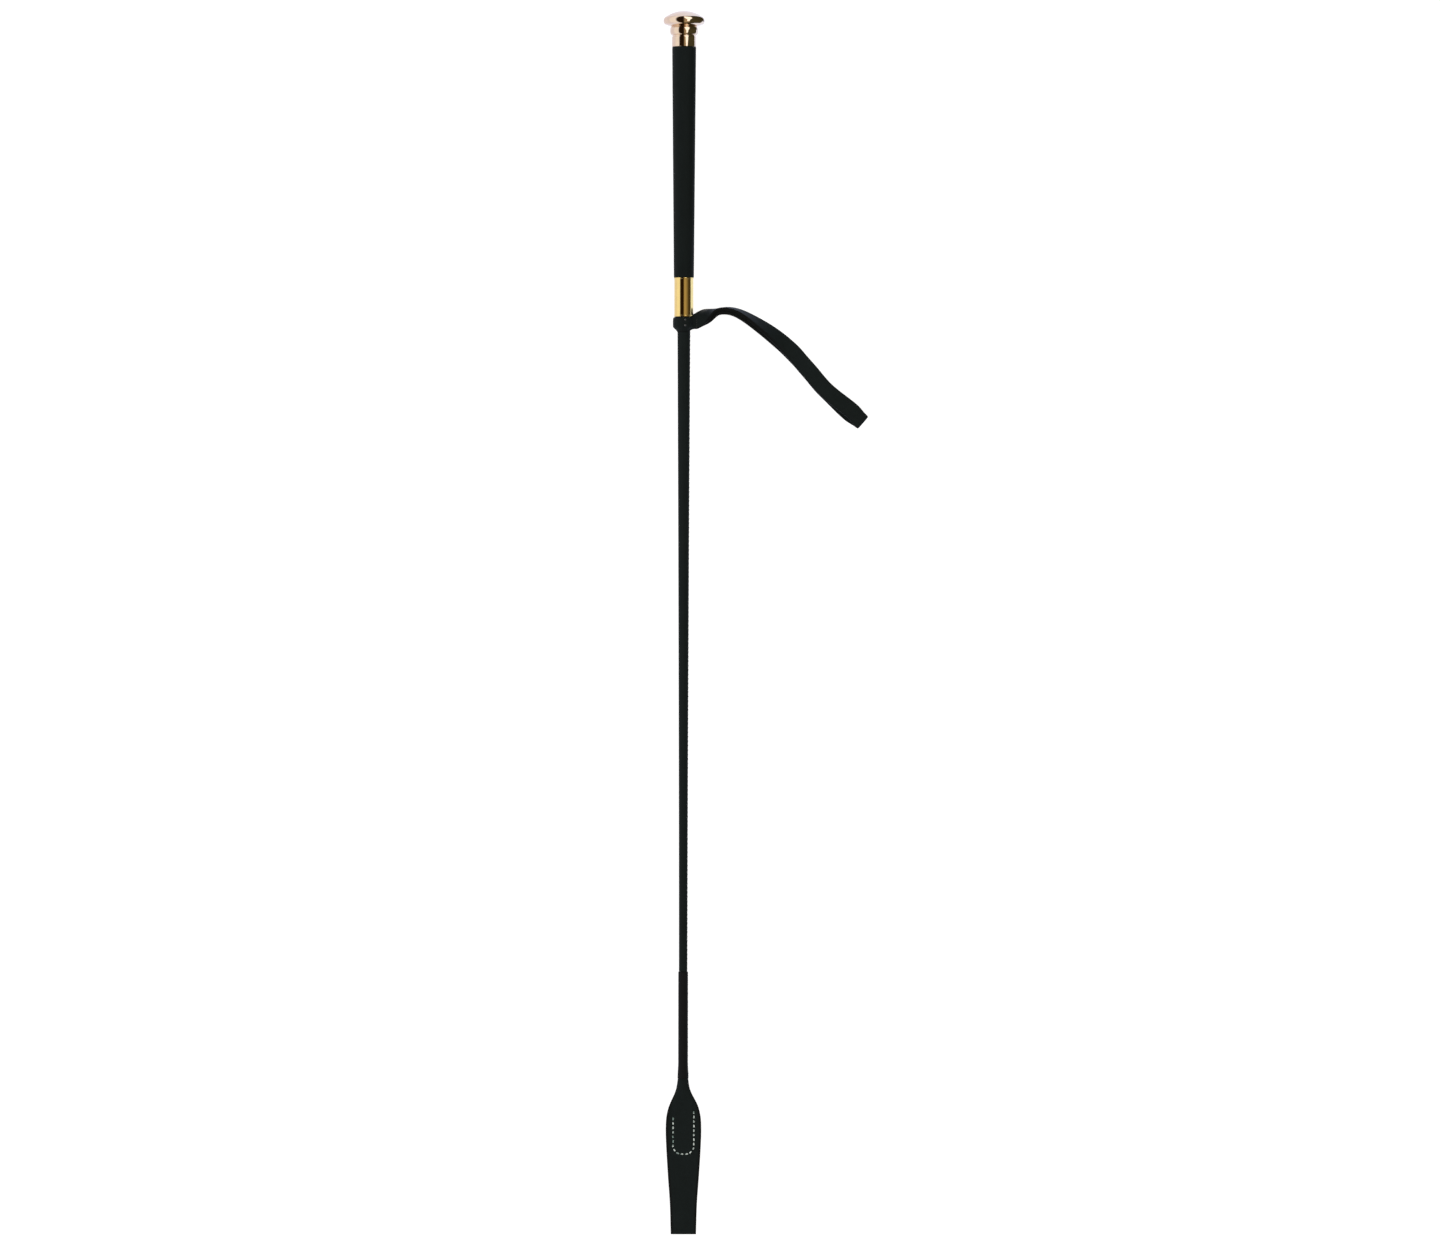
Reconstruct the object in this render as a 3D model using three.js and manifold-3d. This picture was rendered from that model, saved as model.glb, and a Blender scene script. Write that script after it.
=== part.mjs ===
// Riding crop: a mushroom-capped leather handle, a gilt ferrule, a leather-covered shaft,
// a doubled wrist strap and a flat sewn leather keeper.
//
// Millimetres, +Z up. The crop lies on a table as it would be put down: the head points
// along +Y, the strap lies to the +X side, and the table is Z = 0. Only the cap's rim, the
// strap and the keeper touch the table, so the rod slopes gently down towards the keeper.
// The origin is the centre of the bounding box's bottom face.
//
// The leather strap and the keeper bend as the crop is used. They are cut into rigid
// lengths at the lines where they bend, with room there for the parts to turn.

import * as THREE from 'three';
import { mergeVertices } from 'three/addons/utils/BufferGeometryUtils.js';
import Module from 'manifold-3d';

const wasm = await Module();
wasm.setup();

const { smoothstep, lerp, degToRad } = THREE.MathUtils;

// ---- driving dimensions -------------------------------------------------------------
// Stations along the rod are distances from the top of the head.

const totalLength = 660;
const fit = 0.1;            // glued fit between round pieces
const clearance = 0.3;      // gap between pieces that only meet face to face

const cap = {
  domeRadius: 9.6, domeHeight: 2.9, rimRadius: 11.2, rimAt: 4.95, rimHalfLength: 2.15, rimDepth: 2,
  wall: 1, waistRadius: 6.9, waistAt: 8.4, beadRadius: 7.6, beadEnd: 12.9,
  grooveRadius: 6.35, grooveAt: 13.5, collarRadius: 6.6, end: 19.4, bore: 5.65,
};
const shank = { padRadius: 3, padAt: 1.8, padThickness: 1.2, radius: 1.5, tip: 35, rings: 9 };
const handle = { start: 19.7, end: 143.2, headRadius: 6.45, ferruleRadius: 5.42, leather: 0.85 };
const former = { tenonTop: 9.8, tenonRadius: 5.5, spigotRadius: 4.5, spigotEnd: 164.4 };
const ferrule = { start: 143.6, end: 164.7, radius: 5.2, wall: 0.55, lip: 0.16, lipLength: 0.8 };
const collar = {
  start: 165, end: 170.3, radius: 5.9, footLength: 2.4, footRadius: 3.82, bore: 3.62,
  tabThickness: 3.7, tabLength: 6,
};
const tack = {
  stations: [166.5, 169.4], x: 0.8, headRadius: 0.55, headHeight: 0.3, radius: 0.25, length: 1.5,
  seat: 0.12,
};
const shaft = { start: 165.2, end: 517.7, rootRadius: 3.46, tipRadius: 2.25, leather: 0.75 };
const core = { start: 39.5, end: 574, handleRadius: 2.6 };
const tipWrap = { start: 518, end: 575.9, radius: 2.6, leather: 1.05 };
const seam = { halfWidth: 0.35, threadRadius: 0.2 };

const strap = {
  rootWidth: 8, width: 8.8, thickness: 1.8, widensFrom: 3, peakLean: degToRad(87), peakAt: 14,
  settledAt: 12, flatAt: 66, tightHalfGap: 1.05, openHalfGap: 3.6, endHalfGap: 1.2,
  openFrom: 56, openBy: 78, shutFrom: 90, splay: 0.9, splayFrom: 88, splayBy: 106,
};
const strapJoint = { swingAt: 2.4, bendAt: 17, halfGap: 1.95 };
const rootThread = { at: 0.1, inner: -2, outer: 2.9, radius: 0.22 };

const keeper = {
  start: 576, neckHeight: 3, neckRadius: 3, leaf: 1.4, leafGap: 0.3, spread: degToRad(84),
  flatFrom: 3, flatBy: 16,
};
const keeperJoint = { rootAt: 1.6, rootHalfGap: 1.7, flapAt: 46, flapHalfGap: 1.4 };
const tang = {
  start: 5, end: 38, halfWidth: 4, neckHalfWidth: 0.9, thickness: 0.6,
  bulgeHalfWidth: 4.2, bulgeEdge: 5.8, bulgeEnd: 38.5, bulgeGone: 43,
};
const stitching = { halfWidth: 5.6, start: 18.3, end: 41, cornerRadius: 4, threadRadius: 0.3 };

const keeperLength = totalLength - keeper.start;
const slope = Math.asin((cap.rimRadius - keeper.neckHeight) / (keeper.start - cap.rimAt));
const headHeight = cap.rimRadius * Math.cos(slope) + cap.rimAt * Math.sin(slope);

// ---- materials ------------------------------------------------------------------------

const material = (color, roughness, metalness = 0) =>
  new THREE.MeshStandardMaterial({ color, roughness, metalness });

const champagneGold = material(0xe0c090, 0.12, 1);
const yellowGold = material(0xd4a63c, 0.12, 1);
const steel = material(0x8c8f92, 0.35, 1);
const beech = material(0xb98f5e, 0.7);
const fibreglass = material(0xd9d4c0, 0.4);
const blackLeather = material(0x1a1e1d, 0.55);
const undyedLeather = material(0x8a6242, 0.75);
const blackThread = material(0x101212, 0.8);
const whiteThread = material(0xb9c2bd, 0.75);

// ---- shape helpers -----------------------------------------------------------------------

// A closed turned piece. The profile lists [station, radius] pairs down the outside and,
// on a hollow piece, back up the inside.
function turned(profile, segments = 32) {
  const points = profile.map(([station, radius]) => new THREE.Vector2(radius, -station));
  const hollow = profile[0][1] > 0;
  if (hollow) points.push(points[0].clone());
  return new THREE.LatheGeometry(points.reverse(), segments);
}

// Moves every vertex of a geometry to the place that `place` returns for it.
function reshape(geometry, place) {
  const position = geometry.attributes.position;
  const vertex = new THREE.Vector3();
  for (let i = 0; i < position.count; i++) {
    vertex.fromBufferAttribute(position, i);
    position.setXYZ(i, ...place(vertex).toArray());
  }
  return geometry;
}

// A sheet of leather rolled round the rod, with its two edges meeting along a seam.
function rolledSheet({ start, end, outerRadius, thickness, seamAngle, around, along }) {
  const sheet = new THREE.BoxGeometry(2, end - start, 1, around, along, 1);
  const middle = (start + end) / 2;
  return reshape(sheet, ({ x, y, z }) => {
    const station = middle - y;
    const outer = outerRadius(station);
    const radius = outer - thickness * (0.5 - z);
    const angle = seamAngle - x * (Math.PI - seam.halfWidth / outer);
    return new THREE.Vector3(-radius * Math.cos(angle), y - middle, -radius * Math.sin(angle));
  });
}

// A thread of round section that follows a curve.
function thread(curve, radius, steps) {
  const section = new THREE.Shape();
  section.absarc(0, 0, radius, 0, 2 * Math.PI);
  return new THREE.ExtrudeGeometry(section, { extrudePath: curve, steps, curveSegments: 4 });
}

function solid(geometry) {
  const merged = geometry.clone();
  merged.deleteAttribute('normal');
  merged.deleteAttribute('uv');
  const welded = mergeVertices(merged, 1e-4);
  return new wasm.Manifold(new wasm.Mesh({
    numProp: 3,
    vertProperties: new Float32Array(welded.attributes.position.array),
    triVerts: new Uint32Array(welded.index.array),
  }));
}

function geometryOf(manifold) {
  const mesh = manifold.getMesh();
  const geometry = new THREE.BufferGeometry();
  geometry.setAttribute('position', new THREE.BufferAttribute(mesh.vertProperties, 3));
  geometry.setIndex(new THREE.BufferAttribute(mesh.triVerts, 1));
  geometry.computeVertexNormals();
  return geometry;
}

// ---- radii along the rod --------------------------------------------------------------------

const handleRadius = (station) => THREE.MathUtils.mapLinear(
  station, handle.start, handle.end, handle.headRadius, handle.ferruleRadius);

// The shaft tapers quickly below the handle and hardly at all towards the tip.
function shaftRadius(station) {
  const left = 1 - (station - shaft.start) / (shaft.end - shaft.start);
  return lerp(shaft.tipRadius, shaft.rootRadius, left ** 1.5);
}

const coreRadius = (station) => shaftRadius(station) - shaft.leather - fit;

// ---- pieces of the handle ---------------------------------------------------------------------

// Points of a shallow dome from its crown to its edge, `inset` inside the outer surface.
function domeProfile(inset, steps) {
  const { domeRadius, domeHeight } = cap;
  const sphere = (domeRadius ** 2 + domeHeight ** 2) / (2 * domeHeight);
  const edge = Math.asin(domeRadius / sphere);
  return Array.from({ length: steps + 1 }, (_, i) => {
    const angle = edge * i / steps;
    const radius = sphere - inset;
    return [sphere - radius * Math.cos(angle), radius * Math.sin(angle)];
  });
}

// Half-round moulding between two stations that stands `height` proud of `base`.
function moulding(from, to, base, height, steps) {
  return Array.from({ length: steps + 1 }, (_, i) => {
    const angle = Math.PI * i / steps;
    return [lerp(from, to, (1 - Math.cos(angle)) / 2), base + height * Math.sin(angle)];
  });
}

// The cap's fat rim, from where it leaves the dome to where it meets the cone below.
function rimProfile(steps) {
  const [from, to] = [degToRad(-78), degToRad(50)];
  return Array.from({ length: steps + 1 }, (_, i) => {
    const angle = lerp(from, to, i / steps);
    return [
      cap.rimAt + cap.rimHalfLength * Math.sin(angle),
      cap.rimRadius - cap.rimDepth * (1 - Math.cos(angle)),
    ];
  });
}

// Spun brass mushroom: dome, fat rim, coned underside, bead and the collar over the handle.
function headCap() {
  const outside = [
    ...domeProfile(0, 6).slice(0, -1),
    ...rimProfile(8),
    [cap.waistAt - 0.15, cap.waistRadius + 0.5],
    [cap.waistAt, cap.waistRadius],
    ...moulding(cap.waistAt + 0.2, cap.beadEnd, cap.waistRadius, cap.beadRadius - cap.waistRadius, 6),
    [cap.grooveAt, cap.grooveRadius],
    [cap.grooveAt + 0.5, cap.collarRadius],
    [cap.end, cap.collarRadius],
  ];
  const inside = [
    [cap.end, cap.bore],
    [cap.waistAt + 1, cap.bore],
    [cap.rimAt + cap.wall, cap.rimRadius - cap.rimDepth - cap.wall / 2],
    ...domeProfile(cap.wall, 5).slice(0, -1).reverse(),
  ];
  return turned([...outside, ...inside]);
}

// Steel spike soldered inside the dome and driven into the handle, ringed so that it grips.
function capShank() {
  const neck = shank.padAt + shank.padThickness;
  const ringFrom = former.tenonTop + 2;
  const pitch = (shank.tip - 3 - ringFrom) / shank.rings;
  const rings = Array.from({ length: shank.rings }, (_, i) => [
    [ringFrom + i * pitch, shank.radius],
    [ringFrom + (i + 0.8) * pitch, shank.radius - 0.3],
  ]).flat();
  return turned([
    [shank.padAt, 0],
    [shank.padAt, shank.padRadius],
    [neck, shank.padRadius],
    [neck, shank.radius],
    ...rings,
    [shank.tip - 2, shank.radius - 0.3],
    [shank.tip, 0],
  ], 16);
}

// Turned wooden former with a tenon for the cap, a spigot for the ferrule and a bore for the rod.
function handleFormer() {
  const under = (station) => handleRadius(station) - handle.leather - fit;
  const bore = core.handleRadius + fit;
  const pilot = shank.radius + 0.15;
  return turned([
    [former.tenonTop, pilot],
    [former.tenonTop, former.tenonRadius],
    [handle.start, former.tenonRadius],
    [handle.start + clearance, under(handle.start)],
    [handle.end - clearance, under(handle.end)],
    [handle.end, former.spigotRadius],
    [former.spigotEnd, former.spigotRadius],
    [former.spigotEnd, bore],
    [core.start - clearance, bore],
    [core.start - clearance, pilot],
  ]);
}

function handleCover() {
  return rolledSheet({
    start: handle.start, end: handle.end, outerRadius: handleRadius, thickness: handle.leather,
    seamAngle: -Math.PI / 2, around: 36, along: 3,
  });
}

// Gilt tube with a small rolled lip at each end.
function ferruleTube() {
  const { start, end, radius, wall, lip, lipLength } = ferrule;
  return turned([
    ...moulding(start, start + lipLength, radius, lip, 4),
    ...moulding(end - lipLength, end, radius, lip, 4),
    [end, radius - wall],
    [start, radius - wall],
  ]);
}

// ---- pieces of the shaft ----------------------------------------------------------------------

function shaftCore() {
  const taperSteps = 8;
  const taper = Array.from({ length: taperSteps + 1 }, (_, i) => {
    const station = lerp(shaft.start, shaft.end, i / taperSteps);
    return [station, coreRadius(station)];
  });
  return turned([
    [core.start, 0],
    [core.start, core.handleRadius],
    ...taper,
    [core.end, coreRadius(shaft.end)],
    [core.end, 0],
  ], 24);
}

function shaftCover() {
  return rolledSheet({
    start: shaft.start, end: shaft.end, outerRadius: shaftRadius, thickness: shaft.leather,
    seamAngle: 0, around: 24, along: 8,
  });
}

function tipSleeve() {
  return rolledSheet({
    start: tipWrap.start, end: tipWrap.end, outerRadius: () => tipWrap.radius,
    thickness: tipWrap.leather, seamAngle: 0, around: 24, along: 1,
  });
}

// Thread that closes a rolled sheet. It lies in the seam, level with the leather.
function seamThread({ start, end, outerRadius, direction, steps }) {
  const inset = 2;
  const points = Array.from({ length: steps + 1 }, (_, i) => {
    const station = lerp(start + inset, end - inset, i / steps);
    const radius = outerRadius(station) - seam.threadRadius;
    return new THREE.Vector3(direction.x * radius, -station, direction.z * radius);
  });
  return thread(new THREE.CatmullRomCurve3(points), seam.threadRadius, steps);
}

// ---- wrist strap ------------------------------------------------------------------------------------
// The strap is one strip of leather. It wraps the shaft, and its two arms run side by side
// out to a fold. `along` is the distance from where the strap leaves the collar.

const strapPlan = new THREE.CatmullRomCurve3([
  [6.4, -167.2], [12.8, -163.9], [20.4, -161.3], [27.8, -162], [41.4, -169.6], [56.8, -181.7],
  [67.8, -193.8], [75.8, -203.1], [96.2, -220.9],
].map(([x, y]) => new THREE.Vector3(x, y, 0)), false, 'centripetal');
const strapLength = strapPlan.getLength();

// Lean of the strap away from lying flat: it stands on edge where it turns away from the shaft.
function strapLean(along) {
  const { peakLean, peakAt, flatAt } = strap;
  if (along < peakAt) return peakLean * smoothstep(along, 0, peakAt);
  const untwist = Math.min((along - peakAt) / (flatAt - peakAt), 1);
  return peakLean * (1 - untwist ** 1.3);
}

// The strap is pared a little narrower where it is sewn into its collar.
const strapWidth = (along) =>
  lerp(strap.rootWidth, strap.width, smoothstep(along, strap.widensFrom, strap.peakAt));

// How far the two arms slip to either side of each other just before the fold.
function strapSplay(along) {
  return strap.splay * smoothstep(along, strap.splayFrom, strap.splayBy)
    * (1 - smoothstep(along, strap.splayBy, strapLength));
}

// Half the distance between the middles of the two arms: the hand loop opens, then folds shut.
function strapHalfGap(along) {
  const opening = smoothstep(along, strap.openFrom, strap.openBy);
  const closing = smoothstep(along, strap.shutFrom, strapLength);
  const closed = lerp(strap.tightHalfGap, strap.endHalfGap, closing);
  return lerp(closed, strap.openHalfGap, opening * (1 - closing));
}

// Position and directions of the strap's middle surface.
function strapFrame(along) {
  const share = along / strapLength;
  const spot = strapPlan.getPointAt(share);
  const forward = strapPlan.getTangentAt(share);
  const outward = new THREE.Vector3(-forward.y, forward.x, 0);
  const lean = strapLean(along);
  const up = new THREE.Vector3(0, 0, Math.cos(lean)).addScaledVector(outward, Math.sin(lean));
  const across = forward.clone().cross(up);
  const halfHeight = (strapHalfGap(along) + strap.thickness / 2) * Math.cos(lean)
    + strapWidth(along) / 2 * Math.sin(lean);
  const shaftAxis = headHeight - collar.start * Math.sin(slope);
  spot.z = lerp(shaftAxis, halfHeight, smoothstep(along, strapJoint.swingAt, strap.settledAt));
  return { spot, forward, up, across };
}

// A place on the strip: `turn` is 0 on the upper arm, 180 degrees on the lower arm.
function strapStation(along, turn) {
  const { spot, forward, up, across } = strapFrame(along);
  const out = up.clone().multiplyScalar(Math.cos(turn)).addScaledVector(forward, Math.sin(turn));
  spot.addScaledVector(out, strapHalfGap(along));
  spot.addScaledVector(across, -strapSplay(along) * Math.cos(turn));
  return { centre: spot, out, across, width: strapWidth(along) };
}

// A strip of leather lofted through a list of stations.
function strip(stations) {
  const steps = stations.length - 1;
  const block = new THREE.BoxGeometry(steps, 1, strap.thickness, steps, 1, 1);
  return reshape(block, ({ x, y, z }) => {
    const { centre, out, across, width } = stations[Math.round(x + steps / 2)];
    return centre.clone().addScaledVector(across, -y * width).addScaledVector(out, z);
  });
}

function armStations(from, to, turn, steps) {
  return Array.from({ length: steps + 1 }, (_, i) => strapStation(lerp(from, to, i / steps), turn));
}

// Short stretch between the two lines where the strap bends.
function strapRootArm(turn) {
  const from = strapJoint.swingAt + strapJoint.halfGap;
  const to = strapJoint.bendAt - strapJoint.halfGap;
  return strip(turn === 0 ? armStations(from, to, 0, 8) : armStations(to, from, turn, 8));
}

// The hand loop: out along the upper arm, round the fold and back along the lower arm.
function strapLoop() {
  const from = strapJoint.bendAt + strapJoint.halfGap;
  const foldAt = strapLength - strap.endHalfGap;
  const foldSteps = 6;
  const armSteps = 22;
  const fold = Array.from({ length: foldSteps - 1 }, (_, i) =>
    strapStation(foldAt, Math.PI * (i + 1) / foldSteps));
  return strip([
    ...armStations(from, foldAt, 0, armSteps),
    ...fold,
    ...armStations(foldAt, from, Math.PI, armSteps),
  ]);
}

// The wrap round the shaft with the tab that the two arms are sewn into. It is relieved
// beside the ferrule and drilled for its two tacks.
function strapCollar() {
  const length = collar.end - collar.start;
  const middle = -(collar.start + collar.end) / 2;
  const band = new THREE.CylinderGeometry(collar.radius, collar.radius, length, 32);
  band.translate(0, middle, 0);
  const footSteps = 4;
  const rounding = Array.from({ length: footSteps + 1 }, (_, i) => {
    const angle = Math.PI / 2 * i / footSteps;
    return [
      collar.end + collar.footLength * Math.sin(angle),
      lerp(collar.footRadius, collar.radius, Math.cos(angle)),
    ];
  });
  const foot = turned([
    [collar.end - 1, 0],
    [collar.end - 1, collar.radius],
    ...rounding,
    [collar.end + collar.footLength, 0],
  ]);
  const sewnEnd = strapJoint.swingAt - strapJoint.halfGap;
  const reach = strapPlan.getPointAt(sewnEnd / strapLength);
  const heading = strapPlan.getTangentAt(sewnEnd / strapLength);
  const tab = new THREE.BoxGeometry(collar.tabLength, strap.rootWidth, collar.tabThickness);
  tab.translate(-collar.tabLength / 2, 0, 0);
  tab.rotateZ(Math.atan2(heading.y, heading.x));
  tab.translate(reach.x, reach.y, 0);
  const bore = new THREE.CylinderGeometry(collar.bore, collar.bore, 3 * length, 32);
  bore.translate(0, middle, 0);
  const relief = new THREE.CylinderGeometry(
    ferrule.radius + 0.5, ferrule.radius + 0.5, 2 * length, 32);
  relief.translate(0, length - collar.start, 0);
  let wrap = solid(band).add(solid(foot)).add(solid(tab)).subtract(solid(bore)).subtract(solid(relief));
  for (const station of tack.stations) wrap = wrap.subtract(solid(tackHole(station)));
  return geometryOf(wrap);
}

// Axis of a tack: it stands upright on the crown of the wrap.
function placeTack(geometry, station) {
  const crown = Math.sqrt(collar.radius ** 2 - tack.x ** 2);
  return geometry.rotateX(Math.PI / 2).translate(tack.x, -station, crown);
}

function tackHole(station) {
  const radius = tack.radius + fit;
  const hole = new THREE.CylinderGeometry(radius, radius, 2 * collar.radius, 12);
  return placeTack(hole.translate(0, collar.radius - 3, 0), station);
}

// Dome-headed tack that pins the wrap. Its head stands on the leather.
function strapTack(station) {
  const pin = turned([
    [-tack.seat - tack.headHeight, 0],
    [-tack.seat - tack.headHeight * 0.85, tack.headRadius * 0.55],
    [-tack.seat, tack.headRadius],
    [-tack.seat + 0.05, tack.radius],
    [tack.length, tack.radius],
    [tack.length, 0],
  ], 12);
  return placeTack(pin, station);
}

// Row of thread across the tab, where the two arms are sewn together.
function strapRootThread() {
  const { x, y } = strapPlan.getPointAt(rootThread.at / strapLength);
  const heading = strapPlan.getTangentAt(rootThread.at / strapLength);
  const height = collar.tabThickness / 2 + rootThread.radius + fit;
  const [inner, outer] = [rootThread.inner, rootThread.outer].map((side) =>
    new THREE.Vector3(x + heading.y * side, y - heading.x * side, height));
  return thread(new THREE.LineCurve3(inner, outer), rootThread.radius, 3);
}

// ---- keeper -----------------------------------------------------------------------------------------
// Two leaves of leather, sewn over a tongue. `along` is the distance from the end of the rod.

const keeperOutline = new THREE.CatmullRomCurve3([
  [0, 3], [4.8, 3.7], [8, 4.85], [13, 7.25], [20, 9.15], [27, 9.6], [36, 9.35], [52, 8.4],
  [68, 7.3], [84, 6.83],
].map(([along, halfWidth]) => new THREE.Vector3(along, halfWidth, 0)), false, 'centripetal');

// Half the keeper's width, found on its outline by halving the curve's parameter.
function keeperHalfWidth(along) {
  let [low, high] = [0, 1];
  while (high - low > 1e-5) {
    const middle = (low + high) / 2;
    if (keeperOutline.getPoint(middle).x < along) low = middle;
    else high = middle;
  }
  return keeperOutline.getPoint(low).y;
}

const keeperFlatness = (along) => smoothstep(along, keeper.flatFrom, keeper.flatBy);

// How far the front leaf is pushed up by the tongue under it.
function tongueBulge(x, along) {
  const across = 1 - smoothstep(Math.abs(x), tang.bulgeHalfWidth, tang.bulgeEdge);
  const lengthwise = 1 - smoothstep(along, tang.bulgeEnd, tang.bulgeGone);
  return tang.thickness * across * lengthwise;
}

// One leaf of the keeper, half round at the neck and flat below. `side` is 1 in front, -1 behind.
function keeperLeaf(side, from, to, steps) {
  const sheet = new THREE.BoxGeometry(2, to - from, 1, 16, steps, 1);
  const middle = (from + to) / 2;
  return reshape(sheet, ({ x, y, z }) => {
    const along = middle - y;
    const flat = keeperFlatness(along);
    const depth = 0.5 + side * z;
    const radius = keeper.neckRadius - keeper.leaf * (1 - depth);
    const roundX = Math.sin(x * keeper.spread) * radius / keeper.neckRadius;
    const spotX = lerp(roundX, x, flat) * keeperHalfWidth(along);
    const roundZ = keeper.neckHeight + side * radius * Math.cos(x * keeper.spread);
    const inner = keeper.leaf + (side > 0 ? keeper.leafGap + tongueBulge(spotX, along) : 0);
    return new THREE.Vector3(spotX, -along, lerp(roundZ, inner + side * depth * keeper.leaf, flat));
  });
}

// Leather tongue between the leaves. It stiffens the sewn part.
function keeperTang() {
  const sheet = new THREE.BoxGeometry(2, tang.end - tang.start, tang.thickness, 4, 16, 1);
  const middle = (tang.start + tang.end) / 2;
  const layHeight = keeper.leaf + keeper.leafGap / 2 + tang.thickness / 2;
  return reshape(sheet, ({ x, y, z }) => {
    const along = middle - y;
    const flat = keeperFlatness(along);
    const halfWidth = lerp(tang.neckHalfWidth, tang.halfWidth, flat);
    return new THREE.Vector3(x * halfWidth, -along, z + lerp(keeper.neckHeight, layHeight, flat));
  });
}

// U of thread on the front leaf, open towards the rod.
function keeperThread() {
  const { halfWidth, start, end, cornerRadius, threadRadius } = stitching;
  const flatHeight = 2 * keeper.leaf + keeper.leafGap + clearance + threadRadius;
  const height = (x, along) => flatHeight + tongueBulge(x, along);
  const cornerSteps = 4;
  const side = (sign) => {
    const corner = Array.from({ length: cornerSteps + 1 }, (_, i) => {
      const angle = Math.PI / 2 * i / cornerSteps;
      return [halfWidth - cornerRadius * (1 - Math.cos(angle)), end - cornerRadius * (1 - Math.sin(angle))];
    });
    return [[halfWidth, start], [halfWidth, (start + end - cornerRadius) / 2], ...corner]
      .map(([x, along]) => new THREE.Vector3(sign * x, -along, height(x, along)));
  };
  const path = new THREE.CatmullRomCurve3([...side(-1), ...side(1).reverse()], false, 'centripetal');
  return thread(path, threadRadius, 40);
}

// ---- assembly ---------------------------------------------------------------------------------------

function addPart(group, name, geometry, finish) {
  const mesh = new THREE.Mesh(geometry, finish);
  mesh.name = name;
  group.add(mesh);
}

function buildRod() {
  const rod = new THREE.Group();
  const right = new THREE.Vector3(1, 0, 0);
  const below = new THREE.Vector3(0, 0, -1);
  addPart(rod, 'head_cap', headCap(), champagneGold);
  addPart(rod, 'cap_shank', capShank(), steel);
  addPart(rod, 'handle_former', handleFormer(), beech);
  addPart(rod, 'handle_cover', handleCover(), blackLeather);
  addPart(rod, 'handle_seam_thread', seamThread({
    start: handle.start, end: handle.end, outerRadius: handleRadius, direction: below, steps: 3,
  }), blackThread);
  addPart(rod, 'ferrule', ferruleTube(), yellowGold);
  addPart(rod, 'shaft_core', shaftCore(), fibreglass);
  addPart(rod, 'shaft_cover', shaftCover(), blackLeather);
  addPart(rod, 'shaft_seam_thread', seamThread({
    start: collar.end + 3, end: shaft.end, outerRadius: shaftRadius, direction: right, steps: 8,
  }), blackThread);
  addPart(rod, 'strap_collar', strapCollar(), blackLeather);
  addPart(rod, 'strap_root_thread', strapRootThread(), blackThread);
  addPart(rod, 'strap_tack_upper', strapTack(tack.stations[0]), steel);
  addPart(rod, 'strap_tack_lower', strapTack(tack.stations[1]), steel);
  addPart(rod, 'tip_wrap', tipSleeve(), blackLeather);
  addPart(rod, 'tip_wrap_thread', seamThread({
    start: tipWrap.start, end: tipWrap.end, outerRadius: () => tipWrap.radius, direction: right, steps: 1,
  }), blackThread);
  rod.rotation.x = slope;
  rod.position.z = headHeight;
  return rod;
}

function buildStrap() {
  const group = new THREE.Group();
  addPart(group, 'strap_root_outer', strapRootArm(0), blackLeather);
  addPart(group, 'strap_root_inner', strapRootArm(Math.PI), blackLeather);
  addPart(group, 'wrist_strap_loop', strapLoop(), blackLeather);
  return group;
}

function buildKeeper() {
  const group = new THREE.Group();
  const top = keeperJoint.rootAt + keeperJoint.rootHalfGap;
  const sewnEnd = keeperJoint.flapAt - keeperJoint.flapHalfGap;
  const flapTop = keeperJoint.flapAt + keeperJoint.flapHalfGap;
  addPart(group, 'keeper_front_leaf', keeperLeaf(1, top, sewnEnd, 20), blackLeather);
  addPart(group, 'keeper_back_leaf', keeperLeaf(-1, top, sewnEnd, 20), blackLeather);
  addPart(group, 'keeper_tongue', keeperTang(), undyedLeather);
  addPart(group, 'keeper_stitching', keeperThread(), whiteThread);
  addPart(group, 'keeper_front_flap', keeperLeaf(1, flapTop, keeperLength, 6), blackLeather);
  addPart(group, 'keeper_back_flap', keeperLeaf(-1, flapTop, keeperLength, 6), blackLeather);
  group.position.y = -keeper.start * Math.cos(slope);
  return group;
}

const crop = new THREE.Group();
crop.add(buildRod(), buildStrap(), buildKeeper());

// The origin goes to the middle of the bounding box's bottom face.
const bounds = new THREE.Box3().setFromObject(crop, true);
const centre = bounds.getCenter(new THREE.Vector3());
crop.position.set(-centre.x, -centre.y, -bounds.min.z);
crop.updateMatrixWorld(true);

export default crop;
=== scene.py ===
"""Looks of a riding crop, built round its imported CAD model.

Shapes are made in millimetres. Pieces of the rod are made along the rod's own axis: X to the
right, -Y down the rod from the top of the head, Z up. The strap and the keeper are made on the
table, with the same X and Y. Everything is then moved to its place in the model, in metres.
"""

import bisect
import math
from types import SimpleNamespace as Sizes

import bmesh
import bpy
from mathutils import Matrix, Vector


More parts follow.
